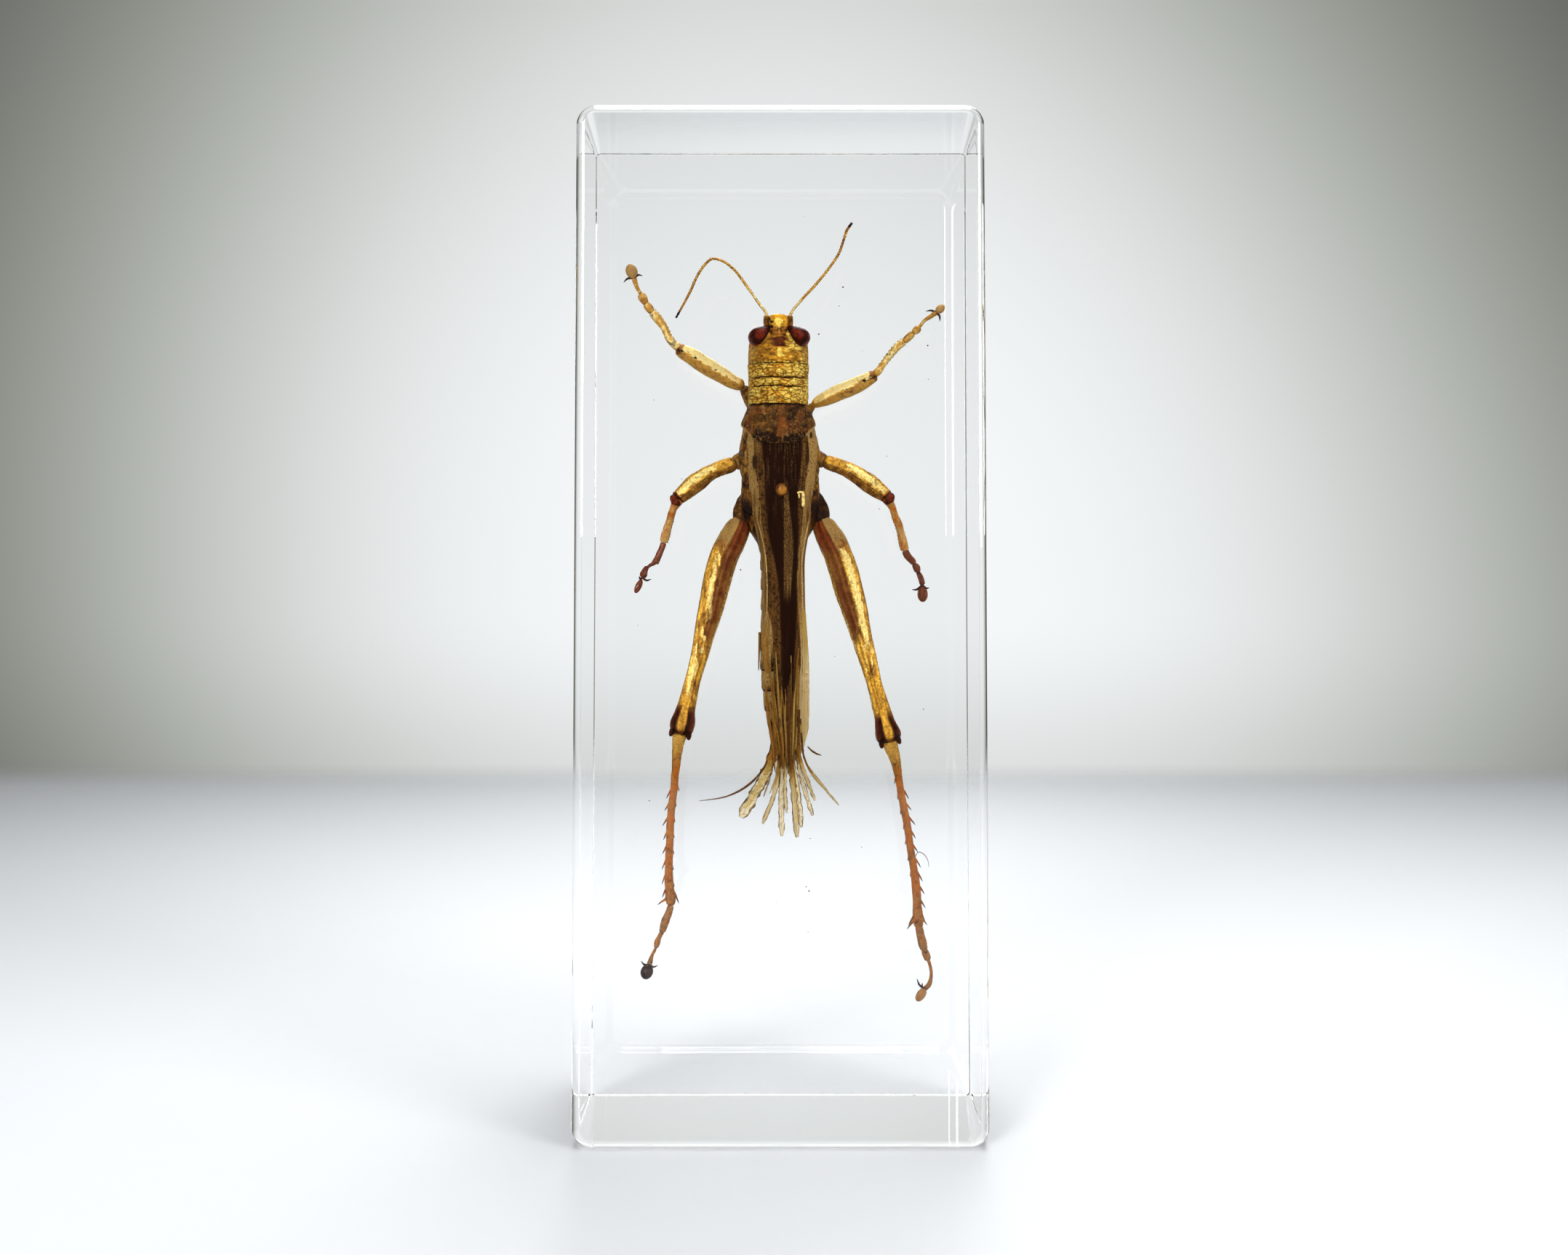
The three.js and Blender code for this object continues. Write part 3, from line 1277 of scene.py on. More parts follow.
@dataclass
class Pronotum:
    """The saddle behind the head: a rugged gold front half and a dark grainy hind half.

    Attributes:
        front: Z of its front margin.
        hind: Z of its hind margin in the middle.
        grooves: Z of the cross grooves.
        waist: Z of the groove where the hind half starts.
        rim_drop: how far the hind margin's middle hangs below its sides.
        crest_depth: Y of the arch's crest.
        reach: degrees that each side lobe goes round.
    """

    front: float = 84.62
    hind: float = 75.6
    grooves: tuple[float, ...] = (82.97, 82.0)
    waist: float = 79.96
    rim_drop: float = 2.2
    crest_depth: float = -3.55
    reach: float = 118.0

    def build(self, finishes: Finishes) -> None:
        """Makes the saddle as a curved sheet: an arch of changing width, carried down the back."""
        turn = np.radians(np.linspace(-self.reach, self.reach, 250))[None]
        along = np.linspace(0.0, 1.0, 170)[:, None]
        side = np.abs(np.sin(turn))
        below = smooth(math.radians(88.0), math.radians(self.reach), np.abs(turn))
        hind = self.hind + self.rim_drop * side**3 + 3.2 * below
        z = self.front + 0.15 * below + along * (hind - self.front - 0.15 * below)
        half = level(z, ((75.6, 3.95), (77.0, 4.16), (77.9, 4.2), (79.0, 3.8), (79.9, 3.44),
                         (81.5, 3.38), (83.0, 3.36), (84.5, 3.46)))
        tall = level(z, ((75.6, 4.15), (78.5, 4.25), (80.5, 4.05), (84.5, 4.1)))
        x = AXIS + half * power(np.sin(turn), 0.86)
        y = self.crest_depth + tall - tall * power(np.cos(turn), 0.86)
        patch = Patch(np.stack([x, y, z], -1), wraps=False, capped=False)
        patch.radial = unit(np.stack([np.sin(turn), -np.cos(turn), 0.0 * turn], -1))
        self.dress(patch, x - AXIS, z, along, np.cos(turn))
        patch.face(DORSAL)
        make_piece("pronotum", [patch], finishes.shell, 0.14)

    def dress(self, patch: Patch, aside: Array, z: Array, along: Array, up: Array) -> None:
        """Adds the wrinkles, grooves, grains and keel, and paints them, with a painted shadow along the
        front margin.

        Args:
            patch: the saddle.
            aside: distance from the middle line, in mm.
            z: heights, in mm.
            along: 0 at the front margin to 1 at the hind margin.
            up: 1 along the back to below 0 on the side lobes.
        """
        folds = patch.lumps(21, (0.5, 0.5, 0.24), 1) + 0.4 * patch.lumps(26, (0.22, 0.22, 0.13), 1)
        ridge = smooth(-0.1, 0.24, folds)
        grain = patch.lumps(22, (0.2, 0.2, 0.2))
        blotch = patch.lumps(23, (1.1, 1.1, 0.8))
        waver = 0.14 * patch.lumps(24, (1.0, 1.0, 9.0))
        fore = smooth(self.waist - 0.1, self.waist + 0.1, z)
        groove = sum(hill(z + waver, place, 0.1) for place in self.grooves)
        groove = groove * smooth(-0.1, 0.4, up) * smooth(3.3, 2.6, np.abs(aside))
        waist = hill(z + 0.5 * waver, self.waist, 0.09) * smooth(-0.5, 0.2, up)
        # The collar is a shallow dip along the front margin; its dark colour below is a painted shadow of
        # the gap under the head.
        collar = hill(z, 84.5, 0.08) * smooth(-0.2, 0.3, up)
        flank = 0.3 + 0.7 * smooth(0.0, 0.5, up)
        keel = hill(aside, 0.12, 0.13) * smooth(0.3, 0.8, up)
        patch.swell(
            flank * (fore * (0.12 * ridge - 0.06) + (1.0 - fore) * 0.05 * grain + 0.03 * grain)
            - 0.22 * groove - 0.2 * waist - 0.14 * collar + 0.1 * keel
        )
        lobes = smooth(0.35, -0.1, up)
        rim = smooth(0.955, 0.975, along) * smooth(0.85, 0.55, up)
        middle = hill(aside, 0.2, 0.5)
        aft = 1.0 - fore
        tone = 0.5 + 0.35 * smooth(-0.8, 0.9, aside) + 0.35 * blotch + 0.2 * middle
        grains = smooth(0.0, 0.5, grain + 0.4 * blotch)
        patch.coat(
            gold=fore * (0.85 + 0.1 * ridge + 0.15 * middle) + aft * (0.05 + 0.2 * middle),
            flake=fore * (0.15 + 0.5 * tone + 0.15 * ridge) * (1.0 - 0.6 * middle) + 0.35 * rim - 0.15 * aft,
            straw=fore * 0.3 * (1.0 - tone) + aft * (0.15 + 0.25 * grains) + 0.25 * lobes + 1.2 * rim,
            rust=0.15 * fore * (1.0 - ridge) + 0.6 * groove + 0.45 * aft * smooth(-0.2, 0.5, blotch),
            # the collar's share of dark is the painted shadow where the saddle's front margin meets the head
            dark=(0.6 * groove + waist + 0.7 * collar) * (0.85 + 0.3 * blotch)
            + fore * (0.2 * (1.0 - ridge) * smooth(0.3, -0.3, blotch) + 0.1 * (1.0 - tone))
            + aft * (0.25 + 0.3 * smooth(0.3, -0.3, blotch) + 0.15 * smooth(0.0, 1.5, aside))
            * (1.0 - 0.6 * middle) * (1.0 - rim)
            + 0.5 * smooth(77.3, 76.2, z) * (1.0 - grains) * smooth(0.3, 0.8, up),
            granule=aft * (0.45 + 0.4 * grains) * (1.0 - 0.7 * middle) + 0.3 * lobes,
            pads=fore * (1.0 - 0.4 * lobes),
        )


@dataclass
class Trunk:
    """The thorax under the wings, and the ringed abdomen behind it."""

    ring: float = 2.25  # length of an abdominal ring

    def thorax(self) -> Patch:
        """The chest: an oval box with slanting seams on its sides and cross plates below."""
        stations = [
            (AXIS, 1.3, 81.5, 2.9, 2.7), (AXIS, 1.3, 78.7, 3.75, 3.3), (-0.2, 1.3, 76.7, 4.2, 3.5),
            (-0.15, 1.3, 74.8, 4.55, 3.55), (-0.05, 1.3, 71.8, 4.35, 3.5),
            (0.0, 1.3, 69.0, 4.45, 3.35), (0.05, 1.25, 66.8, 4.0, 3.0), (0.1, 1.1, 64.8, 2.8, 2.5),
            (0.1, 1.0, 63.0, 2.3, 2.2),
        ]
        patch = rod(stations, 190, 150, (0.8, 0.6), 0.85, steps=10)
        x, y, z = np.moveaxis(patch.points, -1, 0)
        blotch = patch.lumps(31, (0.5, 0.6, 0.9), 3)
        grain = patch.lumps(32, (0.2, 0.2, 0.2), 1)
        slant = z - 0.55 * y
        seams = sum(hill(slant, place, 0.12) for place in (76.3, 73.6, 71.3, 68.4))
        plates = sum(hill(z, place, 0.14) for place in (78.6, 75.2, 70.6, 66.6))
        under = smooth(0.45, 0.8, patch.radial[..., 1])
        lines = seams * (1.0 - under) + plates * under
        patch.swell(0.06 * blotch + 0.03 * grain - 0.2 * lines)
        soot = hill(z, 68.2, 1.7) * smooth(2.9, 3.6, np.abs(x))
        return patch.coat(
            straw=0.18 + 0.55 * blotch - 0.5 * soot,
            gold=0.25 + 0.4 * grain - 0.5 * soot,
            dark=0.8 * lines + 0.7 * smooth(0.0, 0.5, -blotch) + 0.9 * soot,
            granule=0.45 * (1.0 - soot),
        )

    def abdomen(self) -> Patch:
        """Rings that overlap like tiles: each is widest at its hind rim."""
        stations = [
            (0.1, 1.1, 66.0, 2.5, 2.3), (0.1, 1.0, 60.0, 2.3, 2.1), (0.0, 0.95, 55.0, 2.2, 2.0),
            (-0.12, 0.95, 51.0, 2.16, 1.9), (-0.12, 0.95, 48.0, 1.9, 1.75),
            (0.0, 0.95, 45.0, 1.6, 1.5), (0.15, 0.95, 43.0, 1.2, 1.15),
            (0.4, 0.95, 41.0, 0.65, 0.7), (0.5, 0.95, 40.2, 0.4, 0.4),
        ]
        patch = rod(stations, 230, 96, (0.5, 0.4), steps=8)
        lap = (patch.distance / self.ring) % 1.0
        fold = 0.10 * smooth(0.0, 0.75, lap) - 0.10 * smooth(0.93, 1.0, lap)
        lumps = patch.lumps(41, (0.5, 0.5, 0.4))
        patch.swell(fold + 0.03 * lumps - 0.05)
        z = patch.points[..., 2]
        spots = smooth(0.1, 0.5, lumps) * smooth(0.25, 0.6, lap)
        return patch.coat(
            straw=0.75 - 0.35 * lap + 0.2 * lumps - 0.5 * smooth(45.2, 43.6, z),
            gold=0.25,
            rust=0.55 * smooth(45.5, 43.5, z),
            dark=0.55 * spots + 0.75 * smooth(0.88, 0.95, lap) + 0.5 * hill(z, 44.3, 0.9),
        )

    def tail(self) -> list[Patch]:
        """The tail valves and two short pointed cerci."""
        parts = [
            rod([(0.35 + side * 0.25, deep, 41.5, 0.36, 0.32), (0.45 + side * 0.2, deep, 40.3, 0.26, 0.24),
                 (0.5 + side * 0.1, deep, 39.3, 0.08, 0.08)], 20, 16, (0.2, 0.08))
            for side in (-1, 1) for deep in (0.6, 1.2)
        ]
        for part in parts:
            part.coat(rust=0.5, dark=0.4 + 0.5 * part.share)
        return parts

    def build(self, finishes: Finishes) -> None:
        """Makes the chest and the abdomen."""
        make_piece("thorax", [self.thorax()], finishes.shell)
        make_piece("abdomen", [self.abdomen()], finishes.shell)
        make_piece("tail_valves", self.tail(), finishes.shin)


# ---------------------------------------------------------------- the wings


@dataclass
class Wings:
    """Two roof-shaped fore wings that overlap on the back, and hind wings frayed into strips.

    Attributes:
        outline: Z, X of the left edge, X of the right edge, Y of the crest and height of the arch.
        shoulder: Z where the wings start.
    """

    outline: Stations = (
        (40.5, -0.9, 3.1, -1.7, 1.0),
        (44.0, -1.4, 3.15, -1.9, 1.1),
        (47.0, -1.9, 3.2, -2.1, 1.3),
        (50.0, -2.1, 3.1, -2.3, 1.6),
        (53.0, -2.3, 3.05, -2.5, 1.8),
        (57.0, -2.05, 2.8, -2.7, 2.0),
        (60.0, -2.0, 2.72, -2.85, 2.3),
        (63.0, -2.2, 2.75, -3.0, 2.6),
        (65.0, -2.55, 3.05, -3.1, 2.9),
        (66.5, -2.95, 3.35, -3.15, 3.1),
        (69.0, -3.45, 3.65, -3.25, 3.4),
        (72.0, -3.8, 4.0, -3.3, 3.7),
        (75.6, -4.0, 4.15, -3.3, 3.9),
        (78.5, -3.7, 3.6, -3.2, 3.9),
    )
    shoulder: float = 78.0

    def fore(self, side: int) -> Patch:
        """One fore wing: an arch from beyond the middle line down to the flank.

        Args:
            side: -1 for the left one, which lies on top, or 1.

        Returns:
            The sheet, with its across and along places and its painted fields.
        """
        rows, columns = 400, 120
        seam = 13.0 if side < 0 else -26.0
        turn = np.radians(np.linspace(seam, side * 104.0, columns))[None]
        share = np.linspace(0.0, 1.0, rows)[:, None]
        ragged = Lumps(51, (1.0, 1.0, 1.0), 3)
        edge = np.stack([8.0 * turn[0], np.full(columns, side * 3.0), np.zeros(columns)], -1)
        if side < 0:
            tip = 50.9 - 2.4 * np.sin(turn)
        else:
            tip = 44.4 + 9.5 * smooth(0.3, 0.8, np.sin(turn))
        tip = tip + 1.6 * ragged.at(edge)[None]
        z = self.shoulder + share * (tip - self.shoulder)
        left, right, crest, arch = (
            level(z, [(row[0], row[column]) for row in self.outline]) for column in (1, 2, 3, 4)
        )
        middle, half = (left + right) / 2, (right - left) / 2
        x = middle + half * power(np.sin(turn), 0.9)
        y = crest + arch * (1.0 - power(np.cos(turn), 0.9)) + (0.12 if side > 0 else 0.0)
        across = np.sin(turn)
        wave = Lumps(52 + side, (0.5, 0.5, 6.0), 2).at(np.stack([x, y, z], -1))
        y = y - 0.06 * wave - 0.05 * hill(np.abs(across), 0.62, 0.05) - 0.04 * hill(across, 0.0, 0.05)
        patch = Patch(np.stack([x, y, z], -1), wraps=False, capped=False)
        self.dress(patch, across, z, (x, x - left, right - x), wave)
        return patch.face(DORSAL)

    def dress(self, patch: Patch, across: Array, z: Array, sides: Sequence[Array], wave: Array) -> None:
        """Paints a fore wing's fields.

        A dark field runs down the back with a pale net stripe in it, dotted brown fields lie beside
        it, and straw ribbons with rows of dots run along both edges.

        Args:
            patch: the wing.
            across: -1 at the left edge to 1 at the right one.
            z: heights, in mm.
            sides: X, and the distances from the left and right edges, in mm.
            wave: slow noise along the wing.
        """
        x, from_left, from_right = sides
        fine = patch.lumps(58, (0.13, 0.4, 2.6))
        speck = patch.lumps(59, (0.16, 0.3, 0.2))
        first = level(z, ((43.0, 0.0), (50.0, 0.2), (57.0, 0.0), (61.0, -0.35), (65.0, -1.15),
                          (69.0, -1.65), (74.0, -1.95), (78.0, -2.2)))
        last = level(z, ((43.0, 1.2), (50.0, 1.4), (57.0, 1.85), (61.0, 1.75), (65.0, 2.0),
                         (69.0, 2.0), (74.0, 2.3), (78.0, 2.3)))
        core = smooth(-0.15, 0.15, x - first + 0.12 * wave) * smooth(-0.15, 0.15, last - x + 0.12 * wave)
        left = level(z, ((50.0, 1.2), (55.0, 1.3), (57.0, 0.65), (65.0, 0.7), (69.0, 1.05), (78.0, 0.9)))
        right = level(z, ((50.0, 0.8), (57.0, 0.8), (65.0, 0.75), (69.0, 1.0), (78.0, 1.0)))
        inner = np.minimum(from_left - left, from_right - right)
        ribbon = smooth(0.07, -0.07, inner + 0.05 * wave)
        stripe = hill(inner, 0.06, 0.07) * smooth(56.0, 60.0, z) * smooth(76.0, 73.0, z)
        # The gold lines along both edges of the ribbons are a painted highlight.
        edge_highlight = (hill(from_left, 0.52, 0.08) + hill(from_right, 0.3, 0.14)) * smooth(69.5, 66.0, z)
        edge_highlight = edge_highlight * smooth(53.0, 57.0, z)
        net_ends = level(z, ((58.0, 1.2), (65.0, 1.5), (69.0, 1.05), (72.0, 0.9)))
        net_full = level(z, ((58.0, 1.0), (65.0, 1.3), (69.0, 0.9), (72.0, 0.6)))
        net = smooth(0.3, 0.42, x) * smooth(net_ends, net_full, x)
        net = net * smooth(72.0, 70.0, z) * smooth(57.5, 60.0, z)
        thread = hill(x, 0.46, 0.055) * smooth(69.0, 70.5, z) * smooth(76.0, 75.0, z)
        pair = (hill(x, 0.78, 0.05) + hill(x, 1.1, 0.05)) * smooth(62.0, 60.5, z)
        thread = thread + pair * smooth(50.0, 53.0, z)
        dotted = (1.0 - core) * (1.0 - ribbon)
        rows = np.abs(np.sin(np.minimum(from_left, from_right) * 8.2)) ** 0.5
        ribbon_dots = ribbon * smooth(72.5, 70.5, z) * smooth(63.0, 65.5, z) * (1.0 - 0.8 * rows)
        blots = hill(x, -2.85, 0.3) * hill(z, 73.6, 0.75) + hill(x, 3.0, 0.18) * hill(z, 74.2, 0.8)
        blots = blots + hill(x, 3.4, 0.15) * hill(z, 76.6, 0.45)
        smudge = hill(x + 0.1 * wave, -0.2, 0.3) * hill(z, 72.6, 0.9)
        streaks = smooth(0.15, 0.6, fine) * smooth(66.0, 72.0, z)
        patch.coat(
            across=across,
            along=self.shoulder - z,
            dark=core * (1.1 - 0.55 * net - 0.5 * smudge - 0.45 * thread - 0.3 * streaks)
            + dotted * (0.3 + 0.5 * smooth(0.1, 0.6, speck) + 0.2 * smooth(0.0, 0.6, -fine)) + 1.1 * blots
            + 0.25 * ribbon * smooth(0.0, 0.5, -fine),
            straw=ribbon * (0.5 + 0.8 * smooth(69.0, 72.0, z) + 0.3 * smooth(58.0, 55.0, z) + 0.4 * fine)
            + 0.7 * stripe + 0.15 * net + 0.6 * thread
            + 0.3 * streaks * (1.0 - ribbon) - 0.25 * core - blots,
            dots=dotted * smooth(75.0, 71.0, z) * 0.75 + 1.1 * ribbon_dots + 0.7 * net,
            veins=0.35 * dotted + 0.85 * net + 0.2 * ribbon + 0.5 * streaks * (1.0 - ribbon),
            # gold: mostly the painted highlight lines along the edges, with a little gold on the net stripe
            gold=0.75 * edge_highlight + 0.35 * stripe - 0.15,
        )

    def ribbon(self, path: Stations, bow: float, seed: int, rows: int = 90, ragged: float = 0.3) -> Patch:
        """One strip of hind wing: a straight line across, bowed towards the viewer.

        Args:
            path: rows of X, Y, Z and half width, in mm.
            bow: how far the strip's middle stands proud of its edges, in mm.
            seed: picks the ragged edge.
            rows: steps along it.
            ragged: how much the width changes, as a share of it.

        Returns:
            The open sheet.
        """
        curve = through(path, count=rows)
        tangent = unit(np.gradient(curve[:, :3], axis=0))
        side = unit(np.cross(tangent, INWARD))
        across = np.linspace(-1.0, 1.0, 17)[None]
        share = np.linspace(0.0, 1.0, rows)[:, None]
        rough = Lumps(seed, (0.6, 0.6, 0.6), 2)
        shifted = curve[:, None, :3] * 1.2 + across[..., None] * np.array([3.0, 0, 0])
        nibble = 1.0 + ragged * rough.at(shifted)
        narrow = smooth(1.02, 0.93, share)
        reach = across * curve[:, None, 3] * nibble * (0.45 + 0.55 * narrow)
        points = curve[:, None, :3] + reach[..., None] * side[:, None]
        points[..., 1] -= bow * (1.0 - across**2) * curve[:, None, 3]
        points[..., 1] += 0.05 * rough.at(points * 0.7)
        patch = Patch(points, wraps=False, capped=False)
        patch.coat(across=across, along=share * chord_length(path) + seed * 1.7, dark=0.0)
        return patch.face(DORSAL)

    def strips(self) -> list[Patch]:
        """The strips that the hind wings are torn into, fanned out past the tail."""
        fan = (
            ((-0.4, 46.0), (-0.9, 41.0), (-2.3, 37.6), (-4.4, 33.9), 0.62),
            ((-0.5, 45.0), (-1.1, 40.4), (-2.6, 37.0), (-4.0, 35.0), 0.30),
            ((0.2, 46.0), (-0.1, 40.5), (-0.7, 36.6), (-2.0, 33.2), 0.26),
            ((0.3, 47.0), (0.35, 41.0), (0.1, 36.0), (0.15, 31.8), 0.34),
            ((0.5, 46.0), (0.6, 40.0), (0.5, 36.4), (0.7, 34.4), 0.22),
            ((1.0, 47.0), (1.0, 41.5), (1.5, 36.6), (1.85, 31.7), 0.36),
            ((1.2, 46.0), (1.3, 41.0), (2.0, 36.0), (2.3, 32.8), 0.34),
            ((1.7, 47.0), (1.8, 41.0), (2.7, 37.0), (3.6, 34.1), 0.26),
            ((2.0, 46.0), (2.2, 40.6), (3.1, 37.8), (3.85, 35.8), 0.22),
            ((2.2, 45.0), (2.9, 40.0), (4.6, 37.6), (6.5, 35.3), 0.13),
            ((2.1, 44.0), (2.7, 40.4), (3.6, 38.6), (5.0, 37.0), 0.10),
            ((-0.2, 46.0), (-0.6, 42.1), (-1.1, 38.6), (-1.9, 36.2), 0.10),
            ((0.0, 46.0), (-0.3, 41.6), (-0.5, 38.4), (-1.2, 36.6), 0.12),
        )
        parts = []
        for number, (*places, half) in enumerate(fan):
            depth = -1.9 + 0.16 * (number % 4)
            path = [
                (x, depth + 0.35 * step, z, half * (0.75, 0.8, 1.0, 0.9)[step])
                for step, (x, z) in enumerate(places)
            ]
            patch = self.ribbon(path, 0.25, 60 + number)
            shade = smooth(0.68, 0.34, np.linspace(0.0, 1.0, 90)[:, None])
            parts.append(patch.coat(dark=shade * 0.95 + (0.4 if half < 0.2 else 0.18 * (number % 3))))
        return parts

    def fringe(self) -> list[Patch]:
        """Narrow splinters of both wing pairs, packed side by side above the fan."""
        chance = np.random.default_rng(17)
        parts = []
        for number in range(34):
            start = chance.uniform(-1.7, 2.6)
            top = chance.uniform(45.5, 49.5) if 0.0 < start < 1.1 else chance.uniform(47.0, 54.0)
            end = 0.8 + (start - 0.8) * chance.uniform(0.3, 0.75)
            low = chance.uniform(38.6, 43.6)
            half = chance.uniform(0.06, 0.17)
            depth = -2.32 + chance.uniform(-0.12, 0.25)
            upper = (start * 2 + end) / 3 + chance.uniform(-0.12, 0.12)
            lower = (start + end * 2) / 3 + chance.uniform(-0.12, 0.12)
            path = [
                (start, depth, top, half * 0.5),
                (upper, depth, (top * 2 + low) / 3, half),
                (lower, depth + 0.2, (top + low * 2) / 3, half),
                (end, depth + 0.6, low, half * 0.5),
            ]
            patch = self.ribbon(path, 0.4, 90 + number, 50, 0.15)
            parts.append(patch.coat(dark=chance.uniform(0.3, 1.5)))
        return parts

    def veil(self) -> list[Patch]:
        """The pale unfolded pleats at the right edge, and one at the left."""
        sheets = (
            [(2.35, -1.75, 57.0, 0.45), (2.45, -1.7, 53.0, 0.62), (2.4, -1.6, 48.0, 0.8),
             (2.3, -1.5, 44.0, 0.8), (2.1, -1.4, 41.0, 0.35)],
            [(1.6, -1.9, 54.0, 0.3), (1.7, -1.9, 50.0, 0.4), (1.6, -1.8, 46.0, 0.45),
             (1.5, -1.7, 41.5, 0.3)],
            [(-1.3, -2.0, 56.0, 0.35), (-1.5, -2.0, 53.0, 0.5), (-1.4, -1.9, 50.0, 0.35)],
            [(-2.35, -1.3, 54.6, 0.12), (-2.38, -1.3, 52.5, 0.10), (-2.45, -1.3, 50.3, 0.05)],
        )
        parts = []
        pleat = 2.0 * np.abs(np.linspace(-2.6, 2.6, 17)[None] % 2.0 - 1.0) - 1.0
        for number, path in enumerate(sheets):
            patch = self.ribbon(path, 0.2, 130 + number, 120, 0.07)
            parts.append(patch.coat(across=0.9 * pleat, dark=0.45 + 0.15 * number))
        return parts

    def hairs(self) -> list[Patch]:
        """Two torn-off veins that curl away, left and right."""
        long_hair = [(-0.6, -1.5, 42.3, 0.06, 0.06), (-1.2, -1.5, 40.8, 0.09, 0.06),
                     (-2.2, -1.5, 39.0, 0.11, 0.06), (-4.0, -1.5, 37.3, 0.13, 0.06),
                     (-5.8, -1.5, 36.4, 0.09, 0.05), (-9.1, -1.4, 35.8, 0.03, 0.03)]
        short_hair = [(3.0, -1.6, 41.9, 0.06, 0.06), (3.5, -1.6, 41.4, 0.10, 0.06),
                      (4.1, -1.6, 41.05, 0.09, 0.05), (4.6, -1.6, 40.9, 0.04, 0.03)]
        parts = [rod(long_hair, 70, 10, (0.1, 0.1), steps=3), rod(short_hair, 24, 10, (0.1, 0.1), steps=3)]
        return [part.coat(dark=0.8, across=0.9) for part in parts]

    def build(self, finishes: Finishes) -> None:
        """Makes the wings' pieces."""
        for name, side in (("fore_wing_left", -1), ("fore_wing_right", 1)):
            make_piece(name, [self.fore(side)], finishes.leather, 0.05)
        make_piece("hind_wing_fan", self.strips(), finishes.membrane, 0.03)
        make_piece("wing_splinters", self.fringe(), finishes.membrane, 0.03)
        make_piece("hind_wing_pleats", self.veil(), finishes.membrane, 0.03)
        make_piece("torn_veins", self.hairs(), finishes.membrane)


# ---------------------------------------------------------------- the legs


class LegKind(Enum):
    """Which pair a leg belongs to."""

    FRONT = "front"
    MIDDLE = "middle"
    HIND = "hind"


@dataclass(frozen=True)
class Comb:
    """A row of spines along one edge of a shin or thigh.

    Attributes:
        edge: 1 for the edge away from the insect's body, -1 for the one towards it.
        first: share of the length where the row starts.
        last: share where it ends.
        count: how many spines.
        length: their length, in mm.
        lean: 0 for straight out to 90 degrees for along the limb.
    """

    edge: int
    first: float
    last: float
    count: int
    length: float
    lean: float = 45.0

    def spines(self, stations: Stations, outer: int, seed: int = 5) -> list[Patch]:
        """Curved cones that leave the limb's edge at even steps.

        Args:
            stations: the limb's rows.
            outer: sign that the side direction has on the outer edge.
            seed: picks small changes of length and lean.

        Returns:
            One closed surface for each spine.
        """
        chance = np.random.default_rng(seed)
        length = chord_length(stations)
        shares = np.linspace(self.first, self.last, self.count)
        curve = through(stations, shares * length)
        ahead = through(stations, np.minimum(shares * length + 0.1, length))
        tangent = unit(ahead[:, :3] - curve[:, :3] + 1e-6)
        out = unit(np.cross(tangent, INWARD)) * self.edge * outer
        made = []
        for place, along, away in zip(curve, tangent, out):
            lean = math.radians(self.lean + chance.uniform(-6.0, 6.0))
            reach = self.length * chance.uniform(0.85, 1.15)
            root = place[:3] + away * place[3] * 0.75 + np.array([0.0, chance.uniform(-0.15, 0.1), 0.0])
            aim = away * math.cos(lean) + along * math.sin(lean)
            middle = root + aim * reach * 0.5 + away * reach * 0.02
            tip = root + aim * reach + along * reach * 0.02
            thick = 0.07 + 0.07 * self.length
            rows = [(*root, thick, thick), (*middle, thick * 0.62, thick * 0.62), (*tip, 0.02, 0.02)]
            spine = rod(rows, 5, 8, (0.03, 0.02), steps=2)
            made.append(spine.coat(dark=smooth(0.35, 0.9, spine.share), rust=0.4))
        return made


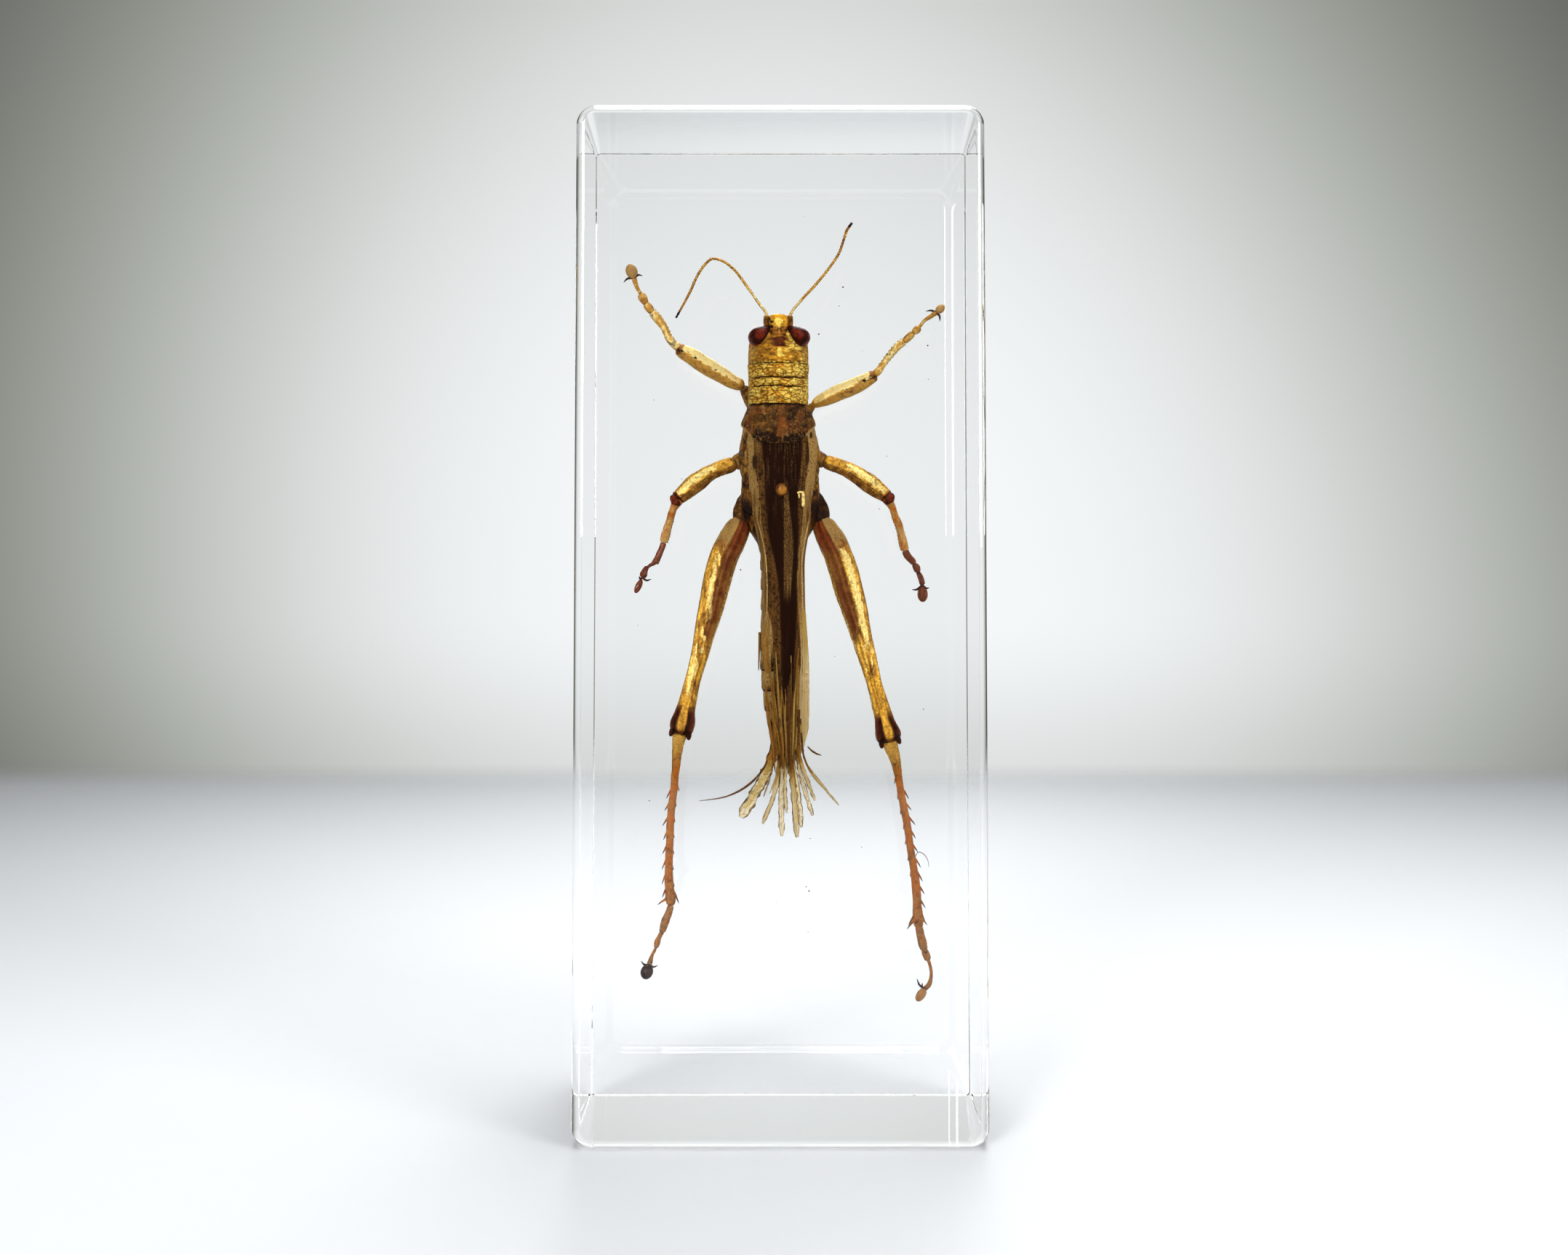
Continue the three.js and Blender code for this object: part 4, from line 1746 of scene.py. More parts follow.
@dataclass
class Leg:
    """One leg: hip, thigh, shin, three foot joints, pad and two claws.

    Attributes:
        name: the start of its pieces' names.
        kind: which pair it belongs to.
        side: -1 for the left, 1 for the right.
        hip: rows of X, Y, Z, half width and half depth.
        thigh: rows of X, Z and half width.
        shin: rows of X, Z and half width.
        foot: one list of rows of X, Z and half width for each foot joint.
        pad: X and Z of the pad's middle, its half length and its half width.
        claws: X and Z of the claws' tips.
        depths: Y at the thigh's start, the knee, the ankle and the pad.
        combs: rows of spines on the shin.
        pad_dark: how dark the pad is.
    """

    name: str
    kind: LegKind
    side: int
    hip: Stations
    thigh: Stations
    shin: Stations
    foot: Sequence[Stations]
    pad: tuple[float, float, float, float]
    claws: Sequence[tuple[float, float]]
    depths: tuple[float, float, float, float]
    combs: Sequence[Comb] = ()
    pad_dark: float = 0.8

    def outer_sign(self, stations: Stations) -> int:
        """The sign that the side direction has on the edge away from the body."""
        rows = np.asarray(stations, float)
        step = rows[-1] - rows[0]
        downward = step[2] < 0
        if self.kind is LegKind.HIND or downward:
            return self.side if downward else -self.side
        return -self.side

    def thigh_rod(self) -> Patch:
        """The thigh, painted for its pair."""
        deep = 0.9 if self.kind is LegKind.HIND else 0.85
        stations = lay(self.thigh, self.depths[0], self.depths[1], deep)
        length = chord_length(stations)
        rows = int(length / 0.085)
        ends = (0.7, 0.45) if self.kind is LegKind.HIND else (0.5, 0.35)
        roundness = 0.88 if self.kind is LegKind.HIND else 1.0
        patch = rod(stations, rows, 96, ends, roundness, steps=10)
        painters = {
            LegKind.FRONT: self.paint_front,
            LegKind.MIDDLE: self.paint_middle,
            LegKind.HIND: self.paint_hind,
        }
        painters[self.kind](patch)
        return patch

    def paint_front(self, patch: Patch) -> None:
        """A bright upper half, partly the thigh's own gold and partly a painted highlight where light falls
        from above, a brown lower half, specks between them and a dark knee.
        """
        upper = patch.radial[..., 2]
        front = -patch.radial[..., 1]
        share = patch.share
        lumps = patch.lumps(70 + self.side, (0.5, 0.3, 0.3))
        patch.swell(0.025 * lumps + 0.04 * hill(upper, -0.12, 0.12) * smooth(0.0, 0.5, front))
        # The bright upper half is partly the thigh's own gold and partly a painted highlight where light
        # falls from above.
        bright = smooth(-0.25, 0.15, upper + 0.25 * lumps) * smooth(0.03, 0.12, share)
        specks = smooth(0.35, 0.7, lumps) * hill(upper, 0.0, 0.3) * smooth(0.25, 0.4, share)
        knee = smooth(0.90, 0.97, share)
        scoop = hill(upper, 0.15, 0.22) * hill(share, 0.8, 0.12) if self.side > 0 else 0.0
        patch.coat(
            gold=0.8 + 0.3 * lumps - 0.25 * smooth(0.1, -0.6, upper) - 0.5 * knee - 0.5 * scoop,
            flake=1.05 * bright * (1.0 - 0.9 * knee) - 0.8 * scoop - 0.4 * hill(upper, 0.98, 0.16),
            straw=0.35 * smooth(-0.5, -1.0, upper) + 0.25,
            rust=0.35 * scoop + 0.5 * knee + 0.3 * smooth(0.05, 0.0, share),
            dark=0.8 * specks + 0.5 * knee * smooth(-0.6, 0.2, -upper) + 0.4 * smooth(0.04, 0.0, share)
            + 0.25 * hill(upper, -0.35, 0.15),
        )

    def paint_middle(self, patch: Patch) -> None:
        """A gold streak with specks near the knee, a brown keel below and a dark ring."""
        upper = patch.radial[..., 2] * 0.8 + patch.radial[..., 0] * self.side * 0.6
        front = -patch.radial[..., 1]
        share = patch.share
        lumps = patch.lumps(75 + self.side, (0.28, 0.28, 0.28))
        patch.swell(0.03 * lumps + 0.05 * hill(upper, -0.25, 0.14) * smooth(0.0, 0.5, front))
        streak = smooth(-0.15, 0.2, upper + 0.15 * lumps) * smooth(0.95, 0.6, upper)
        streak = streak * smooth(0.18, 0.42, share + 0.08 * lumps) * smooth(0.95, 0.91, share)
        specks = smooth(0.3, 0.6, lumps) * smooth(0.3, 0.5, share)
        knee = smooth(0.925, 0.955, share)
        patch.coat(
            gold=0.55 + 0.3 * lumps - 0.35 * smooth(0.0, -0.7, upper),
            flake=1.1 * streak - 0.1,
            straw=0.3 + 0.2 * hill(upper, -0.5, 0.2) - 0.2 * smooth(0.0, -0.5, upper),
            rust=0.9 * knee + 0.25 * smooth(0.25, 0.0, share),
            dark=0.5 * specks * smooth(-0.9, 0.4, upper) + 0.5 * knee + 0.4 * smooth(0.05, 0.0, share)
            + 0.45 * hill(upper, -0.3, 0.1) * smooth(0.2, 0.35, share),
        )

    def paint_hind(self, patch: Patch) -> None:
        """Lengthwise fields: a bright streak outside, ticked brown grooves inside, a dark knee."""
        outer = patch.radial[..., 0] * self.side
        front = smooth(-0.2, 0.3, -patch.radial[..., 1])
        share = patch.share
        lumps = patch.lumps(80 + self.side, (0.28, 0.28, 0.7))
        long_lumps = patch.lumps(85 + self.side, (0.35, 0.35, 2.2))
        keels = sum(hill(outer, place, 0.055) for place in (-0.72, -0.28, 0.12, 0.80))
        dips = sum(hill(outer, place, 0.11) for place in (-0.5, -0.08))
        ticks = np.abs(np.sin(patch.distance * 4.6 + 5.0 * np.abs(outer + 0.3)))
        ticks = smooth(0.8, 0.97, ticks) * smooth(0.1, -0.1, outer) * smooth(0.62, 0.45, share) * front
        ticks = ticks * (0.12 + 0.2 * lumps)
        patch.swell((0.09 * keels - 0.07 * dips) * front * smooth(0.95, 0.8, share)
                    + 0.03 * lumps - 0.03 * ticks)
        knee = smooth(0.855, 0.905, share)
        start = 0.15 + 0.08 * (outer - 0.45)
        if self.side > 0:
            streak = hill(outer, 0.45 - 0.1 * share, 0.3) * smooth(start, start + 0.03, share)
            streak = streak * smooth(0.72, 0.5, share + 0.06 * long_lumps)
            rest = smooth(0.0, 0.5, long_lumps) * smooth(0.3, 0.5, share) * smooth(0.86, 0.8, share) * 0.55
        else:
            flaky = smooth(-0.35, 0.35, long_lumps + 0.6 * lumps)
            streak = hill(outer, 0.35 - 0.25 * share, 0.45) * smooth(start, start + 0.04, share)
            streak = streak * (0.25 + 0.55 * flaky) * smooth(0.9, 0.8, share)
            rest = smooth(0.2, 0.6, lumps + long_lumps) * smooth(0.35, 0.55, share) * 0.4
        base = smooth(0.2, 0.1, share)
        brown = smooth(0.1, -0.05, outer) * smooth(-0.85, -0.7, outer)
        brown = brown * smooth(0.7, 0.45, share + 0.1 * long_lumps)
        sides = smooth(0.25, 0.5, np.abs(outer - 0.05)) * knee
        joint = smooth(0.972, 0.988, share)
        patch.coat(
            gold=0.6 + 0.25 * long_lumps - 0.55 * brown * (1.0 - knee) - 0.8 * sides
            - 0.75 * base * smooth(0.0, 0.2, outer) - 0.4 * joint,
            flake=(1.3 * streak + rest) * front * (1.0 - knee)
            + 0.5 * hill(outer, -0.92, 0.09) * (1.0 - knee)
            + 0.45 * knee * (1.0 - sides) * (0.3 + lumps) - 0.22,
            straw=0.55 * base * smooth(-0.1, 0.15, outer) + 0.3 * keels * (1.0 - knee) + 0.15 * brown,
            rust=0.62 * brown * (0.75 + 0.25 * base) + 0.7 * sides + 0.5 * joint,
            dark=0.7 * sides * (0.6 + 0.4 * hill(np.abs(outer - 0.05), 0.55, 0.2)) + 0.5 * ticks
            + 0.3 * dips * front * smooth(0.7, 0.45, share) + 0.35 * joint
            + 0.5 * hill(outer, 0.99, 0.14) * (1.0 - knee)
            + 0.3 * smooth(0.4, 0.9, lumps) * smooth(0.3, 0.6, share) * (1.0 - streak) + 0.12 * brown,
            pads=0.4 * (1.0 - base) * (1.0 - 0.7 * brown) * (1.0 - 0.5 * knee),
        )

    def shin_rod(self) -> Patch:
        """The shin: paler at its top, rust or gold along it, and dark at the ankle."""
        stations = lay(self.shin, self.depths[1], self.depths[2], 0.9)
        rows = int(chord_length(stations) / 0.09)
        patch = rod(stations, rows, 44, (0.3, 0.3), steps=7)
        share = patch.share
        lumps = patch.lumps(90 + self.side, (0.4, 0.4, 0.6))
        streaks = patch.lumps(93 + self.side, (0.15, 0.15, 0.7))
        patch.swell(0.02 * lumps + 0.02 * streaks)
        if self.kind is LegKind.FRONT:
            patch.coat(
                gold=0.8 + 0.2 * lumps, flake=0.85 * (0.6 + 0.5 * lumps), straw=0.4,
                rust=0.5 * smooth(0.94, 1.0, share),
                dark=0.55 * smooth(0.35, 0.7, lumps) + 0.3 * smooth(0.04, 0.0, share),
            )
        elif self.kind is LegKind.MIDDLE:
            patch.coat(
                gold=0.4 * smooth(0.3, 0.0, lumps), straw=0.45 + 0.3 * smooth(0.4, 0.8, share),
                rust=0.35 + 0.35 * lumps + 0.4 * streaks, flake=-0.3,
                dark=0.35 * smooth(0.25, 0.7, lumps) + 0.5 * smooth(0.09, 0.0, share),
            )
        else:
            patch.coat(
                gold=0.3 + 0.3 * smooth(0.2, 0.05, share), straw=0.3 * smooth(0.8, 0.95, share),
                rust=smooth(0.06, 0.25, share) * (0.55 + 0.6 * lumps + 0.35 * streaks)
                - 0.3 * smooth(0.78, 0.95, share),
                flake=-0.3, dark=0.35 * smooth(0.3, 0.7, lumps + 0.5 * streaks)
                + 0.3 * smooth(0.9, 0.99, share) + 0.3 * hill(share, 0.12, 0.012),
                granule=0.15 * smooth(0.1, 0.3, share),
            )
        return patch

    def foot_rods(self) -> list[Patch]:
        """The foot's joints, each a barrel that swells towards its far end."""
        depths = np.linspace(self.depths[2], self.depths[3], len(self.foot) + 1)
        made = []
        for number, rows in enumerate(self.foot):
            stations = lay(rows, depths[number], depths[number + 1], 0.9)
            steps = max(int(chord_length(stations) / 0.08), 8)
            patch = rod(stations, steps, 30, (0.16, 0.16), steps=6)
            lumps = patch.lumps(95 + number, (0.4, 0.4, 0.4))
            patch.swell(0.025 * lumps)
            bright = self.kind is LegKind.FRONT
            maroon = self.kind is LegKind.MIDDLE
            patch.coat(
                gold=0.65 + 0.3 * lumps if bright else 0.15 + 0.2 * lumps,
                flake=0.5 * lumps + 0.25 if bright else -0.3,
                straw=0.1 if maroon else 0.45 + 0.2 * lumps,
                rust=0.6 if maroon else 0.35,
                dark=(0.2 if bright else 0.35) * (0.7 + lumps) + 0.35 * smooth(0.9, 1.0, patch.share),
                tip=0.15 * number + 0.3 * lumps,
            )
            made.append(patch)
        return made

    def tip_parts(self) -> tuple[Patch, list[Patch]]:
        """The oval pad and the two hooked claws beside it."""
        x, z, long, wide = self.pad
        end = np.asarray(self.foot[-1][-1], float)
        y = self.depths[3]
        aim = unit(np.array([x - end[0], 0.0, z - end[1]]))
        across = np.cross(aim, INWARD)
        pad = ovoid(
            (x, y, z),
            (tuple(aim * long), tuple(across * wide), (0.0, wide * 0.75, 0.0)),
            20,
            28,
        )
        pad.coat(tip=self.pad_dark, dark=0.12, rust=0.4, straw=0.6)
        root = np.array([end[0], y, end[1]])
        claws = []
        for tip_x, tip_z in self.claws:
            tip = np.array([tip_x, y - 0.1, tip_z])
            out = tip - root
            bend = root + out * 0.55 + aim * 0.22
            rows = [(*root, 0.13, 0.13), (*bend, 0.12, 0.11), (*tip, 0.025, 0.025)]
            claw = rod(rows, 16, 12, (0.05, 0.03), steps=3)
            claws.append(claw.coat(tip=0.4 + 0.8 * claw.share))
        return pad, claws

    def build(self, finishes: Finishes) -> None:
        """Makes the leg's pieces."""
        hip = rod(self.hip, 40, 40, (0.4, 0.3), steps=7)
        lumps = hip.lumps(99, (0.35, 0.35, 0.35))
        soot = (0.62 + 0.15 * self.side) if self.kind is LegKind.HIND else 0.15
        hip.swell(0.04 * lumps).coat(
            straw=0.35 * (1.0 - soot) + 0.4 * lumps, gold=0.35 - 0.5 * soot,
            dark=soot + 0.3 * lumps + 0.5 * smooth(0.93, 1.0, hip.share),
        )
        make_piece(f"{self.name}_hip", [hip], finishes.shell)
        thigh = self.thigh_rod()
        parts = [thigh]
        if self.kind is LegKind.MIDDLE:
            teeth = Comb(-1, 0.3, 0.9, 13, 0.22, 60.0)
            rows = lay(self.thigh, self.depths[0], self.depths[1])
            parts += teeth.spines(rows, self.outer_sign(rows), 31)
            parts.append(self.knee_knob())
        if self.kind is LegKind.HIND:
            parts += self.knee_lobes()
        fore = self.kind is LegKind.FRONT
        make_piece(f"{self.name}_thigh", parts, finishes.pale if fore else finishes.leg)
        shin_rows = lay(self.shin, self.depths[1], self.depths[2], 0.9)
        shin = [self.shin_rod()]
        for number, comb in enumerate(self.combs):
            shin += comb.spines(shin_rows, self.outer_sign(shin_rows), 7 + number)
        pad, claws = self.tip_parts()
        finish = finishes.pale if fore else finishes.shin
        make_piece(f"{self.name}_shin", shin, finish)
        maroon = self.kind is LegKind.MIDDLE
        make_piece(f"{self.name}_foot", self.foot_rods(), finishes.claw if maroon else finish)
        horny = maroon or self.pad_dark > 0.3
        make_piece(f"{self.name}_pad", [pad], finishes.claw if horny else finish)
        make_piece(f"{self.name}_claws", claws, finishes.claw)

    def knee_knob(self) -> Patch:
        """The dark cup that closes a middle leg's knee."""
        rows = lay(self.thigh, self.depths[0], self.depths[1])
        aim = unit(rows[-1, :3] - rows[-2, :3])
        across = np.cross(aim, INWARD)
        knob = ovoid(rows[-1, :3], (tuple(aim * 0.6), tuple(across * 0.76), (0.0, 0.68, 0.0)), 24, 36)
        lumps = knob.lumps(97, (0.3, 0.3, 0.3))
        knob.swell(0.05 * lumps)
        return knob.coat(rust=0.8, dark=0.45 + 0.4 * lumps, gold=-0.2, flake=-0.5)

    def knee_lobes(self) -> list[Patch]:
        """Two rounded flaps that cover the knee's sides."""
        end = np.asarray(self.thigh[-1], float)
        before = np.asarray(self.thigh[-3], float)
        aim = unit(np.array([end[0] - before[0], 0.0, end[1] - before[1]]))
        across = np.cross(aim, INWARD)
        middle = np.array([end[0], self.depths[1], end[1]])
        parts = []
        for side in (-1, 1):
            centre = middle + across * side * 0.92 - aim * 0.35
            tilt = aim * 0.75 + across * side * 0.12
            parts.append(ovoid(centre, (tuple(tilt), tuple(across * 0.34), (0.0, 0.62, 0.0)), 20, 26))
        for part in parts:
            part.coat(rust=0.8, dark=0.62, gold=0.1, straw=0.2)
        return parts


def front_legs() -> list[Leg]:
    """The two raised front legs."""
    left = Leg(
        "front_leg_left", LegKind.FRONT, -1,
        hip=[(-2.4, 2.6, 79.6, 0.8, 0.8), (-3.3, 2.3, 80.6, 0.75, 0.75), (-3.9, 1.9, 81.6, 0.6, 0.6),
             (-4.2, 1.7, 82.4, 0.5, 0.5)],
        thigh=[(-4.1, 82.3, 0.55), (-4.7, 82.55, 0.72), (-5.45, 82.86, 0.8), (-6.56, 83.53, 0.9),
               (-7.68, 84.18, 0.97), (-8.81, 84.83, 0.98), (-9.88, 85.57, 0.95), (-11.02, 86.18, 0.8),
               (-11.6, 86.6, 0.62)],
        shin=[(-11.35, 86.5, 0.5), (-12.25, 87.27, 0.44), (-12.69, 87.93, 0.40), (-13.01, 88.68, 0.41),
              (-13.43, 89.35, 0.45), (-13.92, 89.97, 0.5), (-14.5, 90.65, 0.46)],
        foot=[[(-14.45, 90.6, 0.38), (-14.85, 91.15, 0.46), (-15.2, 91.6, 0.4)],
              [(-15.15, 91.55, 0.34), (-15.61, 92.41, 0.48), (-15.8, 92.75, 0.34)],
              [(-15.75, 92.7, 0.2), (-16.09, 93.25, 0.2), (-16.41, 94.1, 0.27), (-16.5, 94.5, 0.3)]],
        pad=(-16.8, 95.25, 0.85, 0.66),
        claws=[(-17.7, 94.0), (-15.55, 94.75)],
        depths=(1.6, 0.5, 0.9, 1.1),
        combs=[Comb(-1, 0.25, 0.95, 9, 0.26, 55.0), Comb(1, 0.35, 0.95, 7, 0.2, 55.0)],
        pad_dark=0.1,
    )
    right = Leg(
        "front_leg_right", LegKind.FRONT, 1,
        hip=[(2.0, 2.6, 78.4, 0.8, 0.8), (2.8, 2.3, 79.2, 0.75, 0.75), (3.3, 1.9, 79.8, 0.5, 0.5),
             (3.75, 1.7, 80.3, 0.36, 0.36)],
        thigh=[(3.45, 80.1, 0.22), (3.9, 80.35, 0.5), (4.40, 80.62, 0.68), (5.57, 81.14, 0.86),
               (6.73, 81.66, 0.92), (7.92, 82.13, 0.93), (9.09, 82.65, 0.87), (10.22, 83.26, 0.72),
               (10.75, 83.6, 0.6)],
        shin=[(10.5, 83.5, 0.42), (11.0, 83.95, 0.42), (11.49, 84.65, 0.37), (12.01, 85.36, 0.38),
              (12.57, 86.05, 0.42), (13.15, 86.72, 0.44), (13.95, 87.35, 0.42)],
        foot=[[(13.9, 87.3, 0.34), (14.47, 87.84, 0.42), (14.96, 88.28, 0.36)],
              [(14.9, 88.25, 0.3), (15.44, 88.73, 0.42), (15.7, 89.0, 0.3)],
              [(15.65, 88.95, 0.19), (16.30, 89.76, 0.2), (16.9, 90.15, 0.25), (17.55, 90.6, 0.3)]],
        pad=(18.0, 91.0, 0.62, 0.46),
        claws=[(16.35, 90.75), (17.95, 89.6)],
        depths=(1.6, 0.5, 0.9, 1.1),
        combs=[Comb(-1, 0.25, 0.95, 9, 0.24, 55.0), Comb(1, 0.35, 0.95, 7, 0.2, 55.0)],
        pad_dark=0.1,
    )
    return [left, right]


def middle_legs() -> list[Leg]:
    """The two arched middle legs."""
    left = Leg(
        "middle_leg_left", LegKind.MIDDLE, -1,
        hip=[(-3.2, 2.4, 74.6, 1.0, 0.9), (-4.2, 2.0, 74.1, 0.95, 0.9), (-4.9, 1.6, 73.75, 0.85, 0.8),
             (-5.3, 1.4, 73.55, 0.7, 0.7)],
        thigh=[(-5.05, 73.7, 0.8), (-5.93, 73.35, 0.88), (-6.74, 73.06, 0.86), (-7.53, 72.71, 0.85),
               (-8.3, 72.3, 0.93), (-9.05, 71.71, 1.05), (-9.81, 71.17, 1.08), (-10.51, 70.55, 0.98),
               (-11.3, 69.85, 0.84), (-11.75, 69.4, 0.72)],
        shin=[(-11.3, 69.75, 0.66), (-11.61, 69.26, 0.6), (-12.01, 68.55, 0.44), (-12.27, 67.80, 0.41),
              (-12.48, 67.03, 0.42), (-12.73, 66.28, 0.46), (-12.93, 65.51, 0.5), (-13.2, 64.6, 0.45)],
        foot=[[(-13.15, 64.65, 0.34), (-13.45, 63.8, 0.35), (-13.80, 63.00, 0.36), (-14.15, 62.3, 0.42)],
              [(-14.1, 62.45, 0.3), (-14.6, 62.15, 0.2), (-15.0, 61.9, 0.14)],
              [(-14.95, 62.0, 0.22), (-15.23, 61.60, 0.32), (-15.46, 60.98, 0.4), (-15.55, 60.7, 0.3)]],
        pad=(-16.0, 59.75, 0.85, 0.36),
        claws=[(-14.55, 60.55), (-15.9, 60.9)],
        depths=(1.5, 0.2, 0.8, 1.0),
        combs=[Comb(-1, 0.5, 0.94, 8, 0.24, 50.0), Comb(1, 0.55, 0.94, 5, 0.16, 60.0)],
        pad_dark=0.05,
    )
    right = Leg(
        "middle_leg_right", LegKind.MIDDLE, 1,
        hip=[(3.1, 2.4, 74.8, 1.0, 0.9), (4.0, 2.0, 74.3, 0.95, 0.9), (4.7, 1.6, 73.95, 0.85, 0.8),
             (5.1, 1.4, 73.75, 0.7, 0.7)],
        thigh=[(4.85, 73.9, 0.8), (5.76, 73.59, 0.83), (6.67, 73.27, 0.84), (7.56, 72.89, 0.88),
               (8.41, 72.40, 0.96), (9.25, 71.83, 1.03), (10.08, 71.24, 1.08), (10.89, 70.60, 0.97),
               (11.75, 69.95, 0.78), (12.15, 69.55, 0.68)],
        shin=[(11.75, 69.9, 0.62), (12.11, 69.38, 0.55), (12.60, 68.51, 0.41), (12.89, 67.57, 0.41),
              (13.28, 66.67, 0.42), (13.54, 65.72, 0.43), (13.76, 64.76, 0.49), (14.05, 63.7, 0.48)],
        foot=[[(14.0, 63.8, 0.38), (14.35, 63.1, 0.42), (14.77, 62.67, 0.38), (15.1, 62.25, 0.32)],
              [(15.05, 62.3, 0.28), (15.35, 61.75, 0.42), (15.47, 61.3, 0.3)],
              [(15.45, 61.4, 0.22), (15.68, 60.92, 0.3), (15.92, 60.3, 0.32), (15.97, 59.9, 0.3)]],
        pad=(16.0, 58.85, 0.88, 0.58),
        claws=[(14.8, 59.35), (16.75, 59.6)],
        depths=(1.5, 0.2, 0.8, 1.0),
        combs=[Comb(-1, 0.45, 0.94, 9, 0.24, 50.0), Comb(1, 0.6, 0.94, 4, 0.14, 60.0)],
        pad_dark=0.05,
    )
    return [left, right]


def hind_legs() -> list[Leg]:
    """The two long hind legs."""
    left = Leg(
        "hind_leg_left", LegKind.HIND, -1,
        hip=[(-3.0, 2.2, 70.2, 1.1, 1.1), (-3.9, 1.7, 69.0, 1.15, 1.1), (-4.3, 1.3, 67.8, 1.1, 1.0),
             (-4.3, 1.0, 66.6, 0.9, 0.9)],
        thigh=[(-4.35, 67.5, 0.75), (-4.62, 66.75, 1.25), (-5.15, 65.58, 1.52), (-5.70, 64.46, 1.6),
               (-6.25, 63.36, 1.6), (-6.66, 62.14, 1.6), (-7.01, 60.94, 1.59), (-7.38, 59.25, 1.53),
               (-7.77, 57.52, 1.42), (-8.20, 55.79, 1.29), (-8.62, 54.06, 1.13), (-9.0, 52.31, 1.0),
               (-9.45, 50.59, 0.9), (-9.92, 48.88, 0.89), (-10.33, 47.14, 0.97), (-10.68, 45.74, 1.1),
               (-10.83, 44.99, 1.28), (-10.99, 44.30, 1.38), (-11.12, 43.58, 1.25), (-11.25, 43.1, 0.95)],
        shin=[(-11.25, 43.3, 0.85), (-11.44, 42.21, 0.66), (-11.6, 40.91, 0.55), (-11.72, 39.60, 0.46),
              (-11.84, 38.30, 0.42), (-11.92, 36.99, 0.41), (-12.12, 35.69, 0.42), (-12.25, 34.39, 0.42),
              (-12.37, 32.67, 0.43), (-12.42, 30.96, 0.42), (-12.49, 29.25, 0.43), (-12.52, 27.54, 0.47),
              (-12.45, 25.82, 0.52), (-12.33, 24.6, 0.55), (-12.3, 23.9, 0.42)],
        foot=[[(-12.3, 24.0, 0.34), (-12.55, 23.1, 0.4), (-12.95, 22.1, 0.46), (-13.3, 20.95, 0.34)],
              [(-13.25, 21.05, 0.26), (-13.6, 20.4, 0.26), (-13.85, 19.75, 0.34), (-13.98, 19.2, 0.26)],
              [(-13.95, 19.25, 0.16), (-14.34, 18.53, 0.18), (-14.72, 17.3, 0.3)]],
        pad=(-15.0, 16.5, 0.85, 0.7),
        claws=[(-15.65, 17.75), (-13.75, 17.25)],
        depths=(1.0, -0.3, 0.6, 0.8),
        combs=[Comb(1, 0.33, 0.9, 8, 1.0, 66.0), Comb(-1, 0.30, 0.86, 7, 0.6, 70.0),
               Comb(1, 0.955, 0.965, 1, 1.35, 25.0), Comb(-1, 0.92, 0.93, 1, 1.6, 66.0)],
        pad_dark=0.9,
    )
    right = Leg(
        "hind_leg_right", LegKind.HIND, 1,
        hip=[(3.1, 2.2, 70.2, 1.1, 1.1), (4.0, 1.7, 69.0, 1.15, 1.1), (4.45, 1.3, 67.8, 1.1, 1.0),
             (4.5, 1.0, 66.6, 0.9, 0.9)],
        thigh=[(4.5, 67.5, 0.75), (4.78, 66.75, 1.2), (5.34, 65.59, 1.48), (5.93, 64.52, 1.6),
               (6.42, 63.40, 1.58), (6.83, 62.25, 1.62), (7.2, 61.08, 1.64), (7.68, 59.26, 1.6),
               (8.22, 57.50, 1.49), (8.67, 55.68, 1.31), (9.15, 53.88, 1.15), (9.64, 52.08, 1.05),
               (10.13, 50.28, 0.91), (10.61, 48.48, 0.85), (11.1, 46.68, 0.95), (11.57, 44.99, 1.05),
               (11.78, 44.14, 1.2), (11.96, 43.50, 1.38), (12.12, 42.86, 1.4), (12.28, 42.2, 1.1)],
        shin=[(12.2, 42.5, 0.9), (12.4, 41.7, 0.78), (12.67, 40.95, 0.68), (12.98, 39.73, 0.53),
              (13.20, 38.49, 0.43), (13.60, 36.00, 0.41), (13.85, 34.76, 0.42), (14.25, 32.63, 0.41),
              (14.54, 30.48, 0.41), (14.90, 28.33, 0.42), (15.18, 26.18, 0.48), (15.33, 24.02, 0.5),
              (15.42, 22.4, 0.58), (15.5, 21.5, 0.5)],
        foot=[[(15.5, 21.7, 0.42), (15.68, 20.75, 0.46), (15.88, 19.9, 0.5), (16.1, 19.0, 0.42)],
              [(16.05, 19.1, 0.32), (16.3, 18.5, 0.42), (16.55, 17.8, 0.34)],
              [(16.55, 17.9, 0.2), (16.85, 16.9, 0.18), (16.88, 15.9, 0.2), (16.68, 15.16, 0.26),
               (16.2, 14.6, 0.28)]],
        pad=(15.75, 13.95, 0.85, 0.5),
        claws=[(15.3, 15.75), (15.9, 15.3)],
        depths=(1.0, -0.3, 0.6, 0.8),
        combs=[Comb(1, 0.27, 0.93, 10, 1.05, 66.0), Comb(-1, 0.2, 0.7, 7, 0.65, 72.0),
               Comb(1, 0.955, 0.965, 1, 1.0, 50.0), Comb(-1, 0.94, 0.96, 2, 1.3, 50.0)],
        pad_dark=0.1,
    )
    return [left, right]


